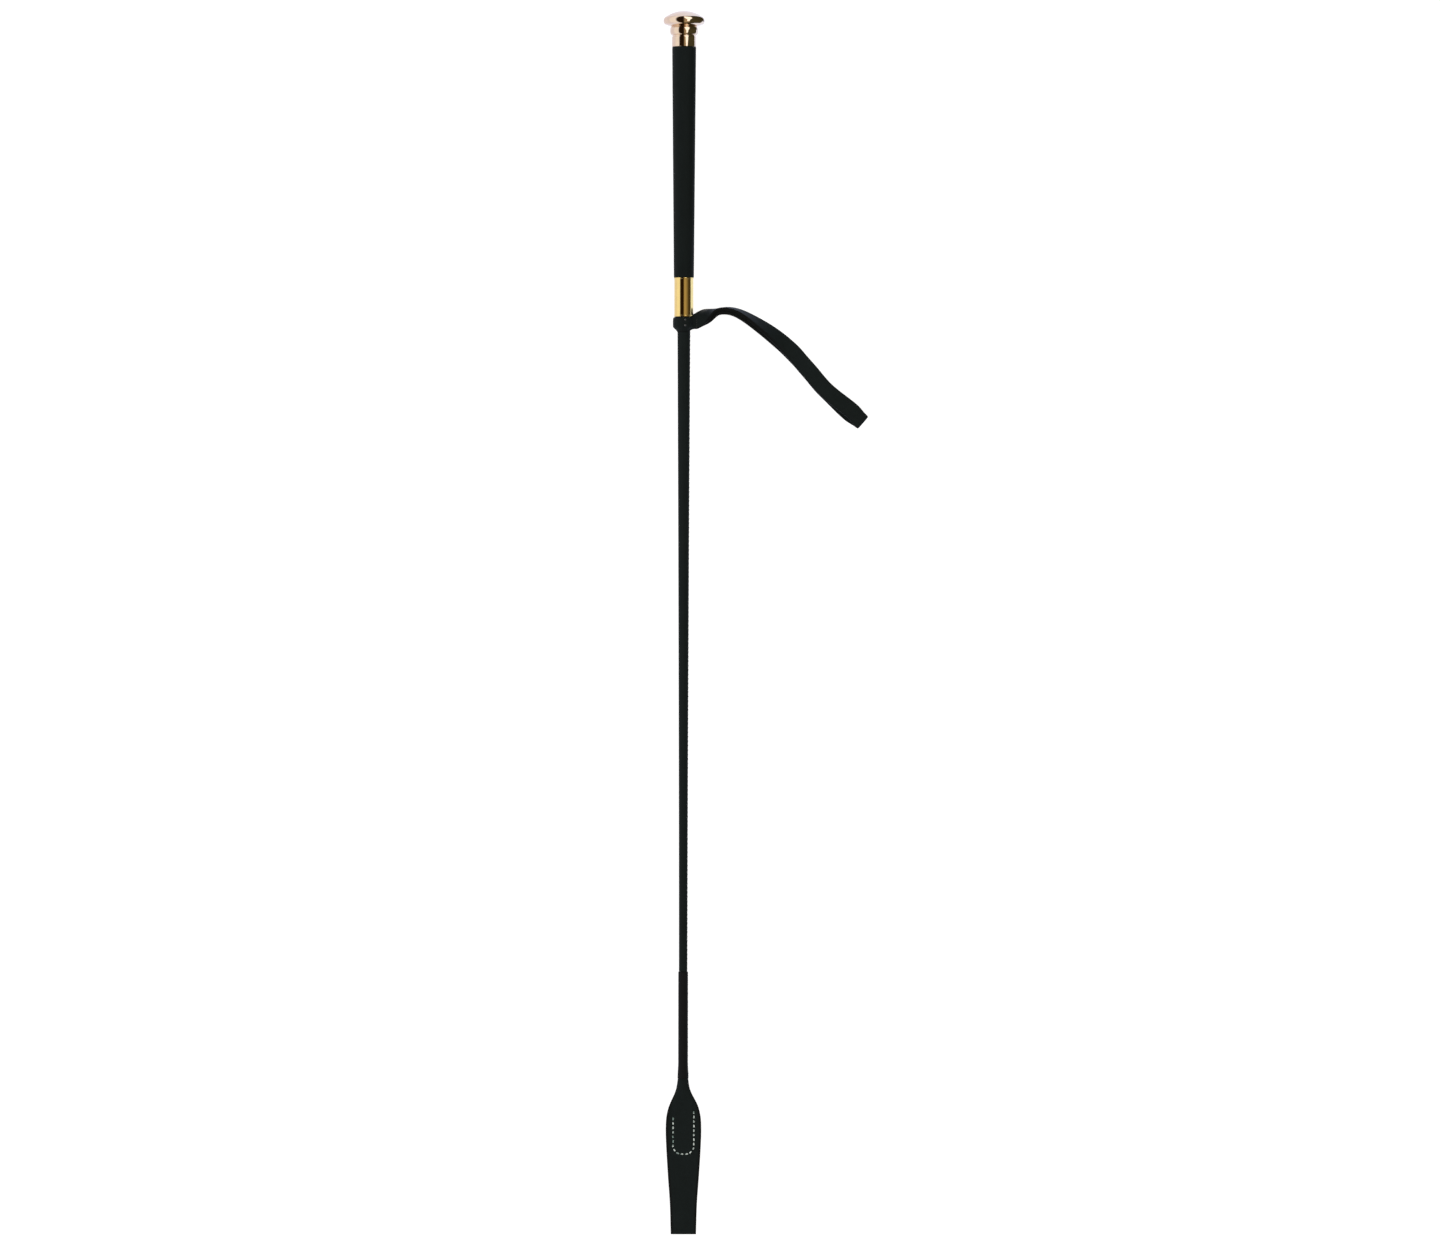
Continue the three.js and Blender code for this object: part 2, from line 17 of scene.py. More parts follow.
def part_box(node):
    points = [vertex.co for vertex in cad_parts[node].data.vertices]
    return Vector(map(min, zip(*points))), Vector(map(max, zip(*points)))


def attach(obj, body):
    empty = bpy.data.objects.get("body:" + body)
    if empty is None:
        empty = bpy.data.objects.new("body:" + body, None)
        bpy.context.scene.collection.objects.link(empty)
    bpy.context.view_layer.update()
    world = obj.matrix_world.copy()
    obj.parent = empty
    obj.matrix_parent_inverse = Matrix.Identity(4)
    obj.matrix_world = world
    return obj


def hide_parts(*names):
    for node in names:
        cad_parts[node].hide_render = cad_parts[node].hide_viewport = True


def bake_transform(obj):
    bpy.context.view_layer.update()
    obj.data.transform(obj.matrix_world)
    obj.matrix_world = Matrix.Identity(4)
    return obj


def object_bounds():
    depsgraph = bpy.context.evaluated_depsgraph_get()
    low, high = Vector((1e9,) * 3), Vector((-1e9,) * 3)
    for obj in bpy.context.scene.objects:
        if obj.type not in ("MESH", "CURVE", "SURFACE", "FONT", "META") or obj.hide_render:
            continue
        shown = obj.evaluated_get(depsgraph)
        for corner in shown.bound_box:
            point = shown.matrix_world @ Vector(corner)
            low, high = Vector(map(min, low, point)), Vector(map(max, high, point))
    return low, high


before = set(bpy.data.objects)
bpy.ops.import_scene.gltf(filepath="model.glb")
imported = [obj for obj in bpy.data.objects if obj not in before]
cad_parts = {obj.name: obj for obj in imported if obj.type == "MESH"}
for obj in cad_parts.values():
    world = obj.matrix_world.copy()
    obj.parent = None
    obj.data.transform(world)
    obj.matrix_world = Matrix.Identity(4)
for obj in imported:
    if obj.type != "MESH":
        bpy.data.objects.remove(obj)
cad_low, cad_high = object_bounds()

MM = 0.001
MILLIMETRES = Matrix.Diagonal((MM, MM, MM, 1))


# ---- the rod's place, from the frame ----


def box_centre(node):
    low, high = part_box(node)
    return (low + high) / 2


axis_x = box_centre("head_cap").x
head_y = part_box("head_cap")[1].y
ferrule_centre = box_centre("ferrule")
tip_centre = box_centre("tip_wrap")
slope = math.atan2(ferrule_centre.z - tip_centre.z, ferrule_centre.y - tip_centre.y)
head_z = ferrule_centre.z + (head_y - ferrule_centre.y) * math.tan(slope)

rod_matrix = (
    Matrix.Translation((axis_x, head_y, head_z))
    @ Matrix.Rotation(slope, 4, "X")
    @ MILLIMETRES
)
table_matrix = Matrix.Translation((axis_x, head_y, 0)) @ MILLIMETRES


def node_span(node):
    """Where a rod piece starts and ends, in millimetres from the top of the head."""
    low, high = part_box(node)
    overhang = (high.x - low.x) / 2 * math.sin(slope)
    scale = MM * math.cos(slope)
    return (head_y - high.y + overhang) / scale, (head_y - low.y - overhang) / scale


# ---- driving dimensions, in millimetres ----

handle_start, handle_end = node_span("handle_cover")
ferrule_start, ferrule_end = node_span("ferrule")
shaft_start, shaft_end = node_span("shaft_cover")
wrap_start, wrap_end = node_span("tip_wrap")

CAP = Sizes(
    dome_radius=9.6, dome_height=2.9, rim_radius=11.2, rim_at=5.2,
    rim_upper=2.2, rim_lower=2.65, rim_depth=2.0, wall=1.0,
    waist_radius=6.9, waist_at=8.4,
    bead_radius=7.6, bead_end=12.9, groove_radius=6.35, groove_at=13.5,
    collar_radius=6.6, end=19.4, bore=5.65,
)
HANDLE = Sizes(head_radius=6.45, ferrule_radius=5.42, leather=0.85)
SHAFT = Sizes(root_radius=3.46, tip_radius=2.25, leather=0.75)
WRAP = Sizes(radius=2.6, end_radius=2.95, leather=0.6)
FERRULE = Sizes(radius=5.2, wall=0.55, lip=0.16, lip_length=0.8)
SLEEVE = Sizes(end_round=0.35, lip=0.09, crease=0.04, seam_drop=0.22)
SEAM_PITCH = 2.4
COLLAR = Sizes(
    start=164.78, end=172.8, radius=5.9, bore=3.55, foot_length=2.9,
    foot_radius=3.68, top_length=1.3, top_radius=5.1, leave=math.radians(62),
)
STRAP = Sizes(
    root_width=8.0, width=8.8, thickness=1.94, widens_from=3.0, peak_lean=87.0,
    peak_at=14.0, settled_at=12.0, flat_at=66.0, tight=0.98, open=3.6, end=1.2,
    open_from=56.0, open_by=78.0, shut_from=90.0,
    splay=0.9, splay_from=88.0, splay_by=106.0,
)
# Where the pale painted highlight lies on the strap's upper arm, at its top edge.
PAINTED_HIGHLIGHT_PATCH = Sizes(middle=7.8, half_length=2.2, starts=1.4, full=3.6)
ROOT_STITCHES = Sizes(count=4, first=1.9, pitch=1.25, out=6.9, length=0.95)
KEEPER = Sizes(
    start=576.0, neck_height=3.0, neck_radius=3.0, leaf=1.4, gap=0.3,
    edge=0.55, off_centre=0.3,
)
TONGUE = Sizes(half_width=4.2, edge=5.8, end=38.5, gone=43.0, thickness=0.6)
STITCHING = Sizes(
    half_width=5.6, left_start=20.4, right_start=17.0, end=40.6, corner=4.6,
    count=21, length=1.3, radius=0.39, groove_depth=0.16, groove_width=0.42,
)
MEETING_GAP = 0.02


def smoothstep(value, low, high):
    share = min(max((value - low) / (high - low), 0.0), 1.0)
    return share * share * (3 - 2 * share)


def lerp(a, b, share):
    return a + (b - a) * share


def spread(start, end, count):
    """Evenly spaced values from start to end, with `count` steps between them."""
    return [lerp(start, end, i / count) for i in range(count + 1)]


# ---- camera ----

# Metres, with the middle measured from the top of the head. The lens is in millimetres.
VIEW_WIDTH = 0.7785
VIEW_MIDDLE = (0.0197, -0.3335)
LENS = 150.0
SENSOR = 36.0
ROLL = math.radians(0.07)


def make_camera():
    """Straight down, with the head at the top of the picture, as the photograph was taken."""
    camera = bpy.data.cameras.new("camera")
    camera.lens = LENS
    camera.sensor_width = SENSOR
    camera.clip_end = 50
    holder = bpy.data.objects.new("camera", camera)
    bpy.context.scene.collection.objects.link(holder)
    distance = VIEW_WIDTH * LENS / SENSOR
    holder.location = (axis_x + VIEW_MIDDLE[0], head_y + VIEW_MIDDLE[1], distance)
    holder.rotation_euler = (0, 0, ROLL)
    bpy.context.scene.camera = holder


# ---- mesh helpers ----


def new_piece(name, vertices, faces, matrix, sharp=35.0, edge_paint_and_shade=None, painted_highlight=None):
    """A smooth-shaded mesh object. Its rest places, its dark edges (partly edge paint, partly
    painted shade) and its painted highlight are kept for the materials.
    """
    mesh = bpy.data.meshes.new(name)
    mesh.from_pydata([tuple(v) for v in vertices], [], faces)
    for kind, values in (("edge_paint_and_shade", edge_paint_and_shade), ("painted_highlight", painted_highlight)):
        kept = mesh.attributes.new(kind, "FLOAT", "POINT")
        kept.data.foreach_set("value", values or [0.0] * len(vertices))
    work = bmesh.new()
    work.from_mesh(mesh)
    bmesh.ops.remove_doubles(work, verts=work.verts, dist=1e-4)
    bmesh.ops.recalc_face_normals(work, faces=work.faces)
    work.to_mesh(mesh)
    work.free()
    rest = mesh.attributes.new("rest", "FLOAT_VECTOR", "POINT")
    rest.data.foreach_set("vector", [c for v in mesh.vertices for c in v.co])
    mesh.transform(matrix)
    mesh.shade_smooth()
    mesh.set_sharp_from_angle(angle=math.radians(sharp))
    piece = bpy.data.objects.new(name, mesh)
    bpy.context.scene.collection.objects.link(piece)
    return piece


def skin_faces(rings, count, loop=False):
    """Quads between rings of `count` points, with caps on the first and last unless they join."""
    faces = []
    for i in range(rings if loop else rings - 1):
        below = (i + 1) % rings * count
        for j in range(count):
            k = (j + 1) % count
            faces.append((i * count + j, i * count + k, below + k, below + j))
    if not loop:
        faces.append(tuple(range(count)))
        faces.append(tuple((rings - 1) * count + j for j in range(count)))
    return faces


def loft(name, rings, matrix, sharp=35.0, edge_paint_and_shade=None, painted_highlight=None):
    points = [point for ring in rings for point in ring]
    faces = skin_faces(len(rings), len(rings[0]))
    return new_piece(name, points, faces, matrix, sharp, edge_paint_and_shade, painted_highlight)


def revolve(name, profile, matrix, segments=96, sharp=35.0):
    """A turned piece from [station, radius] pairs. A hollow profile joins its end to its start."""
    hollow = profile[0][1] > 0
    points = []
    for station, radius in profile:
        for j in range(segments):
            angle = 2 * math.pi * j / segments
            points.append((radius * math.sin(angle), -station, radius * math.cos(angle)))
    faces = skin_faces(len(profile), segments, loop=hollow)
    if not hollow:
        faces = faces[:-2]
    return new_piece(name, points, faces, matrix, sharp)


def rounded(corners, steps=5):
    """A profile whose corners, given as [station, radius, rounding], are turned to small arcs."""
    result = []
    for i, (station, radius, size) in enumerate(corners):
        here = Vector((station, radius))
        if size == 0 or i in (0, len(corners) - 1):
            result.append((station, radius))
            continue
        before = (Vector(corners[i - 1][:2]) - here).normalized() * size
        after = (Vector(corners[i + 1][:2]) - here).normalized() * size
        for k in range(steps + 1):
            t = k / steps
            spot = here + before * (1 - t) ** 2 + after * t ** 2
            result.append((spot.x, spot.y))
    return result


def moulding(start, end, base, height, steps=10):
    """Half-round moulding between two stations that stands `height` proud of `base`."""
    result = []
    for i in range(steps + 1):
        angle = math.pi * i / steps
        station = lerp(start, end, (1 - math.cos(angle)) / 2)
        result.append((station, base + height * math.sin(angle)))
    return result


def tube(path, radius, around, lobes, twist):
    """Rings of a tube along points. Lobes and twist make it look like laid thread."""
    rings = []
    for i, spot in enumerate(path):
        ahead = path[min(i + 1, len(path) - 1)] - path[max(i - 1, 0)]
        forward = ahead.normalized()
        side = forward.cross(Vector((0.13, 0.31, 0.94))).normalized()
        top = side.cross(forward)
        share = i / (len(path) - 1)
        taper = math.sqrt(max(1 - abs(2 * share - 1) ** 6, 0.02))
        ring = []
        for j in range(around):
            angle = 2 * math.pi * j / around
            swell = 1 + lobes * math.cos(2 * angle - twist * share)
            reach = radius * taper * swell
            ring.append(spot + side * (reach * math.cos(angle)) + top * (reach * math.sin(angle)))
        rings.append(ring)
    return rings


def many_tubes(name, paths, radius, matrix, around, lobes, twist):
    """One object that holds a row of short tubes, such as stitches."""
    points = []
    faces = []
    for path in paths:
        rings = tube(path, radius, around, lobes, twist)
        start = len(points)
        points += [point for ring in rings for point in ring]
        faces += [tuple(start + v for v in face) for face in skin_faces(len(rings), around)]
    return new_piece(name, points, faces, matrix, 60.0)


def stitch_path(centre, direction, up, length, rise, sink, steps=8):
    """A stitch: it comes up out of the leather, runs along it and dives back in."""
    path = []
    for i in range(steps + 1):
        t = 2 * i / steps - 1
        path.append(centre + direction * (t * length / 2) + up * (rise * (1 - t ** 4) - sink))
    return path


# ---- material helpers ----


class Nodes:
    """A small helper that adds nodes to one tree and joins them."""

    def __init__(self, tree):
        self.tree = tree

    def feed(self, socket, value):
        """Gives a socket a constant, or joins another node's output to it."""
        if isinstance(value, bpy.types.NodeSocket):
            self.tree.links.new(value, socket)
        else:
            socket.default_value = value

    def add(self, kind, inputs=None, **settings):
        node = self.tree.nodes.new(kind)
        for name, value in settings.items():
            setattr(node, name, value)
        for name, value in (inputs or {}).items():
            self.feed(node.inputs[name], value)
        return node

    def remap(self, value, low, high, to_low=0.0, to_high=1.0):
        ends = {"From Min": low, "From Max": high, "To Min": to_low, "To Max": to_high}
        return self.add("ShaderNodeMapRange", {"Value": value, **ends}).outputs["Result"]

    def blend_colours(self, share, first, second):
        ends = [(*c, 1) if isinstance(c, tuple) else c for c in (first, second)]
        sockets = {"Factor": share, 6: ends[0], 7: ends[1]}
        return self.add("ShaderNodeMix", sockets, data_type="RGBA").outputs[2]


class Shader(Nodes):
    """One material. Its patterns are laid out in millimetres, by the piece's places at rest."""

    def __init__(self, name, from_rest=True):
        self.material = bpy.data.materials.new(name)
        self.material.use_nodes = True
        super().__init__(self.material.node_tree)
        self.surface = self.tree.nodes["Principled BSDF"]
        if from_rest:
            self.place = self.attribute("rest", "Vector")
        else:
            sockets = {0: self.add("ShaderNodeTexCoord").outputs["Object"], "Scale": 1 / MM}
            scaled = self.add("ShaderNodeVectorMath", sockets, operation="SCALE")
            self.place = scaled.outputs["Vector"]

    def attribute(self, name, output="Fac"):
        return self.add("ShaderNodeAttribute", attribute_name=name).outputs[output]

    def stretched(self, scale):
        """The rest place with each axis scaled."""
        node = self.add("ShaderNodeVectorMath", {0: self.place, 1: scale}, operation="MULTIPLY")
        return node.outputs["Vector"]

    def noise(self, scale, detail=3.0, roughness=0.5, place=None):
        sockets = {"Scale": scale, "Detail": detail, "Roughness": roughness}
        sockets["Vector"] = place or self.place
        return self.add("ShaderNodeTexNoise", sockets).outputs["Fac"]

    def pebbles(self, scale):
        sockets = {"Scale": scale, "Vector": self.place}
        return self.add("ShaderNodeTexVoronoi", sockets, feature="F1").outputs["Distance"]

    def sum(self, first, second, weight):
        """first + weight * second"""
        sockets = {0: second, 1: weight, 2: first}
        return self.add("ShaderNodeMath", sockets, operation="MULTIPLY_ADD").outputs["Value"]

    def bump(self, height, strength, distance):
        sockets = {"Height": height, "Strength": strength, "Distance": distance * MM}
        self.set(Normal=self.add("ShaderNodeBump", sockets).outputs["Normal"])

    def set(self, **values):
        for name, value in values.items():
            self.feed(self.surface.inputs[name.replace("_", " ")], value)


def leather(name, tone, grain, roughness, bump):
    """Dyed leather: pebbled grain, fine pores, slow variation of tone, dark edges that are partly
    edge paint and partly painted shade, and a pale painted highlight where the strap turns on
    edge.
    """
    shader = Shader(name)
    pebbles = shader.pebbles(grain)
    fine = shader.noise(grain * 2.2, 4.0, 0.6)
    slow = shader.noise(0.09, 3.0, 0.6)
    mottled = shader.blend_colours(
        shader.remap(slow, 0.35, 0.65), tuple(0.86 * c for c in tone), tone)
    grained = shader.blend_colours(
        shader.remap(pebbles, 0.15, 0.75, 0.0, 0.35), mottled, tuple(0.55 * c for c in tone))
    # Edges darken towards the edge colour: partly edge paint, partly painted shade where rounded
    # edges turn from the light.
    edged = shader.blend_colours(shader.attribute("edge_paint_and_shade"), grained, EDGE_PAINT_AND_SHADE)
    polish = shader.remap(slow, 0.3, 0.7, roughness - 0.05, roughness + 0.06)
    shader.bump(shader.sum(pebbles, fine, 0.5), bump, 0.12)
    # A pale painted highlight is blended over the colour where the strap's edge catches the light.
    shader.set(Base_Color=shader.blend_colours(shader.attribute("painted_highlight"), edged, PAINTED_HIGHLIGHT_COLOUR),
               Roughness=shader.sum(polish, fine, 0.06),
               Specular_IOR_Level=0.06, Sheen_Weight=0.01, Sheen_Roughness=0.6)
    return shader.material


def gilt(name, colour, roughness):
    """Polished plating: fine turned marks round the axis, and a faint haze of handling."""
    shader = Shader(name)
    haze = shader.noise(0.35, 3.0, 0.6)
    turned_marks = shader.noise(1.0, 4.0, 0.7, shader.stretched((0.25, 9.0, 0.25)))
    deep = tuple(0.93 * c for c in colour)
    polish = shader.remap(haze, 0.3, 0.7, roughness, roughness + 0.04)
    shader.bump(turned_marks, 0.12, 0.02)
    shader.set(Base_Color=shader.blend_colours(shader.remap(haze, 0.35, 0.65), deep, colour),
               Roughness=shader.sum(polish, turned_marks, 0.03), Metallic=1.0)
    return shader.material


def laid_thread(name, colour, shade):
    """Twisted sewing thread: fine slanting fibres and slight grubbiness."""
    shader = Shader(name)
    fibres = shader.noise(6.0, 3.0, 0.6)
    grubby = shader.noise(0.4, 2.0, 0.5)
    mixed = shader.blend_colours(shader.remap(grubby, 0.42, 0.6), colour, shade)
    fuzz = shader.remap(fibres, 0.3, 0.7, 0.0, 0.5)
    shader.bump(fibres, 0.5, 0.05)
    shader.set(Base_Color=shader.blend_colours(fuzz, mixed, shade), Roughness=0.8,
               Specular_IOR_Level=0.2, Sheen_Weight=0.2)
    return shader.material


def grained(name, light, dark, stretch, roughness, metallic=0.0):
    """Streaked material of a hidden part: wood, drawn fibreglass, undyed leather or steel."""
    shader = Shader(name, from_rest=False)
    streaks = shader.noise(1.0, 5.0, 0.6, shader.stretched(stretch))
    polish = shader.remap(streaks, 0.3, 0.7, roughness - 0.08, roughness + 0.08)
    shader.bump(streaks, 0.2, 0.05)
    shader.set(Base_Color=shader.blend_colours(shader.remap(streaks, 0.3, 0.7), light, dark),
               Roughness=polish, Metallic=metallic)
    return shader.material


BLACK = (0.0067, 0.0100, 0.0098)
# A darker copy of the same black, to offset the extra gloss the handle catches from the bright
# panel on its left: painted shade over the whole handle.
HANDLE_BLACK_SHADED = (0.0055, 0.0083, 0.0081)
TIP_BLACK = (0.0069, 0.0069, 0.0073)
# Colour of the dark edges: partly edge paint, partly painted shade at the rounded edges.
EDGE_PAINT_AND_SHADE = (0.0035, 0.0038, 0.0037)
# Colour of the painted highlight on the strap's upper edge.
PAINTED_HIGHLIGHT_COLOUR = (0.12, 0.124, 0.124)

handle_leather = leather("handle_leather", HANDLE_BLACK_SHADED, 1.5, 0.62, 0.2)
shaft_leather = leather("shaft_leather", BLACK, 1.9, 0.62, 0.18)
tip_leather = leather("tip_leather", TIP_BLACK, 1.9, 0.62, 0.18)
strap_leather = leather("strap_leather", BLACK, 1.3, 0.58, 0.22)
keeper_leather = leather("keeper_leather", BLACK, 1.2, 0.62, 0.18)
champagne_gold = gilt("champagne_gold", (0.81, 0.635, 0.475), 0.05)
yellow_gold = gilt("yellow_gold", (0.91, 0.68, 0.26), 0.05)
black_thread = laid_thread("black_thread", (0.012, 0.013, 0.013), (0.006, 0.007, 0.007))
white_thread = laid_thread("white_thread", (0.6, 0.65, 0.62), (0.13, 0.19, 0.17))
nickel = gilt("nickel", (0.16, 0.16, 0.16), 0.38)
steel = grained("steel", (0.42, 0.43, 0.44), (0.3, 0.31, 0.32), (2.0, 2.0, 2.0), 0.35, 1.0)
beech = grained("beech", (0.56, 0.36, 0.19), (0.42, 0.24, 0.11), (1.2, 0.05, 1.2), 0.6)
fibreglass = grained("fibreglass", (0.72, 0.69, 0.56), (0.6, 0.57, 0.45), (4.0, 0.03, 4.0), 0.4)
undyed_leather = grained("undyed_leather", (0.3, 0.15, 0.07), (0.2, 0.1, 0.045), (1, 1, 1), 0.7)


def finish_piece(piece, material, slot, body, *nodes):
    """Material, slot (not used), replaced CAD nodes, and the body that the piece moves with."""
    piece.data.materials.append(material)
    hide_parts(*nodes)
    if body:
        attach(piece, body)


# ---- head cap, ferrule and tacks ----


def dome(inset, steps):
    """Points of the shallow dome from crown to edge, `inset` inside its outer surface."""
    reach, height = CAP.dome_radius, CAP.dome_height
    sphere = (reach ** 2 + height ** 2) / (2 * height)
    edge = math.asin(reach / sphere)
    radius = sphere - inset
    return [
        (sphere - radius * math.cos(edge * i / steps), radius * math.sin(edge * i / steps))
        for i in range(steps + 1)
    ]


def rim_profile(steps):
    """The cap's fat rim, from where it leaves the dome to where it meets the cone below."""
    result = []
    for degrees in spread(-78, 50, steps):
        angle = math.radians(degrees)
        length = CAP.rim_upper if angle < 0 else CAP.rim_lower
        result.append((
            CAP.rim_at + length * math.sin(angle),
            CAP.rim_radius - CAP.rim_depth * (1 - math.cos(angle)),
        ))
    return result


def make_head_cap():
    waist_at, waist = CAP.waist_at, CAP.waist_radius
    fat_rim = rim_profile(28)
    skirt = rounded([
        (*fat_rim[-1], 0),
        (waist_at - 0.15, waist + 0.5, 0.25),
        (waist_at, waist, 0),
    ])
    collar = rounded([
        (CAP.bead_end + 0.05, waist, 0),
        (CAP.groove_at - 0.3, CAP.groove_radius, 0.2),
        (CAP.groove_at + 0.25, CAP.groove_radius, 0.2),
        (CAP.groove_at + 0.6, CAP.collar_radius, 0.25),
        (CAP.end, CAP.collar_radius, 0.15),
        (CAP.end, CAP.bore, 0),
    ])
    profile = [
        *dome(0, 22)[:-1],
        *fat_rim[:-1],
        *skirt,
        *moulding(waist_at + 0.15, CAP.bead_end, waist, CAP.bead_radius - waist, 14),
        *collar,
        (waist_at + 1, CAP.bore),
        (CAP.rim_at + CAP.wall, CAP.rim_radius - CAP.rim_depth - CAP.wall / 2),
        *reversed(dome(CAP.wall, 10)[:-1]),
    ]
    cap = revolve("head_cap_shell", profile, rod_matrix, 160)
    finish_piece(cap, champagne_gold, "champagne_gold", "crop", "head_cap")


def make_ferrule():
    radius, lip, lip_length = FERRULE.radius, FERRULE.lip, FERRULE.lip_length
    inner = radius - FERRULE.wall
    profile = [
        (ferrule_start, inner),
        (ferrule_start, radius - 0.1),
        *moulding(ferrule_start + 0.02, ferrule_start + lip_length, radius, lip, 8),
        *moulding(ferrule_end - lip_length, ferrule_end - 0.02, radius, lip, 8),
        (ferrule_end, radius - 0.1),
        (ferrule_end, inner),
    ]
    tube_piece = revolve("ferrule_tube", profile, rod_matrix, 128)
    finish_piece(tube_piece, yellow_gold, "yellow_gold", "crop", "ferrule")


def make_tacks():
    """Two small blackened dome-headed tacks on the crown of the strap's wrap."""
    radius, shank = 0.55, 0.25
    profile = [(0.0, 0.0), (0.03, 0.22), (0.12, 0.4), (0.24, 0.52), (0.34, radius), (0.4, 0.5),
               (0.42, shank), (1.7, shank), (1.8, 0.0)]
    upright = Matrix.Rotation(math.pi / 2, 4, "X") @ MILLIMETRES
    for node in ("strap_tack_upper", "strap_tack_lower"):
        centre = box_centre(node)
        centre.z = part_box(node)[1].z
        tack = revolve(node + "_head", profile, Matrix.Translation(centre) @ upright, 24, 50)
        finish_piece(tack, nickel, "steel", "crop", node)


# ---- leather sleeves of the rod ----


def handle_radius(station):
    share = (station - handle_start) / (handle_end - handle_start)
    return lerp(HANDLE.head_radius, HANDLE.ferrule_radius, share)


def shaft_radius(station):
    left = max(1 - (station - shaft_start) / (shaft_end - shaft_start), 0.0)
    return lerp(SHAFT.tip_radius, SHAFT.root_radius, left ** 1.5)


def wrap_radius(station):
    flare = smoothstep(station, wrap_end - 9, wrap_end)
    return lerp(WRAP.radius, WRAP.end_radius, flare)


# Distances from the seam, in millimetres, at which a sleeve's outer skin has points.
SEAM_OFFSETS = (0.14, 0.17, 0.3, 0.5, 0.75, 1.05)


def sleeve_stations(start, end):
    """Stations of a sleeve's rings: close at its rounded ends, four to a stitch between."""
    at_end = (0, 0.05, 0.15, 0.3)
    inset = 0.45
    count = max(int((end - start - 2 * at_end[-1]) / SEAM_PITCH * 4), 2)
    middle = spread(start + inset, end - inset, count)
    return [start + d for d in at_end] + middle + [end - d for d in reversed(at_end)]


def sleeve(name, start, end, radius_at, leather_thickness, seam_angle, crease_at=None):
    """A sheet rolled round the rod: rounded ends, pinched lips along the seam, a creased edge."""
    around = 34
    end_round = SLEEVE.end_round
    rings = []
    edge_paint_and_shade = []
    for station in sleeve_stations(start, end):
        radius = radius_at(station)
        from_end = min(station - start, end - station)
        inward = 1 - min(from_end / end_round, 1)
        edge_drop = end_round * (1 - math.sqrt(max(1 - inward ** 2, 0)))
        groove = 0.0
        if crease_at:
            groove = SLEEVE.crease * math.exp(-(((from_end - crease_at) / 0.22) ** 2))
        pull = 0.5 + 0.5 * math.cos(2 * math.pi * (station - start) / SEAM_PITCH)
        offsets = [d / radius for d in SEAM_OFFSETS]
        last = offsets[-1]
        turns = offsets + spread(last, 2 * math.pi - last, around)[1:-1]
        turns += [2 * math.pi - turn for turn in reversed(offsets)]
        ring = []
        for turn in turns:
            distance = min(turn, 2 * math.pi - turn) * radius
            lip = SLEEVE.lip * (1 - 0.75 * pull) * math.exp(-((distance - 0.35) / 0.3) ** 2)
            edge_fall = SLEEVE.seam_drop * max(0.0, 1 - (distance - SEAM_OFFSETS[0]) / 0.1)
            reach = radius - edge_drop - groove + lip - edge_fall
            ring.append(polar(reach, seam_angle + turn, station))
            # Rounded ends and seam lips are darkened: edge paint and painted shade where the
            # leather turns away.
            edge_paint_and_shade.append(min(1.0, 2.2 * edge_drop + 3 * lip))
        inner = radius - leather_thickness
        for turn in reversed(turns[::4]):
            ring.append(polar(inner, seam_angle + turn, station))
            edge_paint_and_shade.append(0.0)
        rings.append(ring)
    return loft(name, rings, rod_matrix, 50.0, edge_paint_and_shade)


def polar(reach, angle, station):
    """A point of the rod at an angle from +X towards +Z."""
    return Vector((reach * math.cos(angle), -station, reach * math.sin(angle)))


def make_seam(name, node, start, end, radius_at, seam_angle, radius):
    """Slanting stitches that lace a sleeve's two edges together."""
    paths = []
    inset = 1
    up = polar(1.0, seam_angle, 0)
    side = Vector((-math.sin(seam_angle), 0, math.cos(seam_angle)))
    for i in range(int((end - start - 2 * inset) / SEAM_PITCH)):
        station = start + inset + (i + 0.5) * SEAM_PITCH
        lean = 0.55 * (1 if i % 2 else -1)
        direction = (side + Vector((0, lean, 0))).normalized()
        centre = polar(radius_at(station), seam_angle, station)
        paths.append(stitch_path(centre, direction, up, 1.2, 0.12, 0.12))
    threads = many_tubes(name, paths, radius, rod_matrix, 8, 0.1, 6.0)
    finish_piece(threads, black_thread, "black_thread", "crop", node)


UNDERSIDE = -math.pi / 2
RIGHT = 0.0


def make_sleeves():
    """The three leather sleeves and their seams. Each is drawn close up to the piece it meets."""
    handle = sleeve("handle_leather_cover", CAP.end + MEETING_GAP, ferrule_start - MEETING_GAP,
                    handle_radius, HANDLE.leather, UNDERSIDE, crease_at=3.4)
    finish_piece(handle, handle_leather, "handle_leather", "crop", "handle_cover")
    make_seam("handle_seam_stitches", "handle_seam_thread", handle_start, handle_end,
              handle_radius, UNDERSIDE, 0.17)

    shaft = sleeve("shaft_leather_cover", ferrule_end + MEETING_GAP, wrap_start - MEETING_GAP,
                   shaft_radius, SHAFT.leather, RIGHT)
    finish_piece(shaft, shaft_leather, "shaft_leather", "crop", "shaft_cover")
    make_seam("shaft_seam_stitches", "shaft_seam_thread", COLLAR.end, shaft_end,
              shaft_radius, RIGHT, 0.15)

    wrap = sleeve("tip_leather_wrap", wrap_start, wrap_end, wrap_radius, WRAP.leather, RIGHT)
    finish_piece(wrap, tip_leather, "shaft_leather", "crop", "tip_wrap")
    make_seam("tip_wrap_stitches", "tip_wrap_thread", wrap_start, wrap_end,
              wrap_radius, RIGHT, 0.15)


# ---- wrist strap ----


def hermite(start, end, leaving, arriving, t):
    """A point of the smooth curve between two points with the directions given at its ends."""
    return (start * (2 * t ** 3 - 3 * t ** 2 + 1) + leaving * (t ** 3 - 2 * t ** 2 + t)
            + end * (3 * t ** 2 - 2 * t ** 3) + arriving * (t ** 3 - t ** 2))


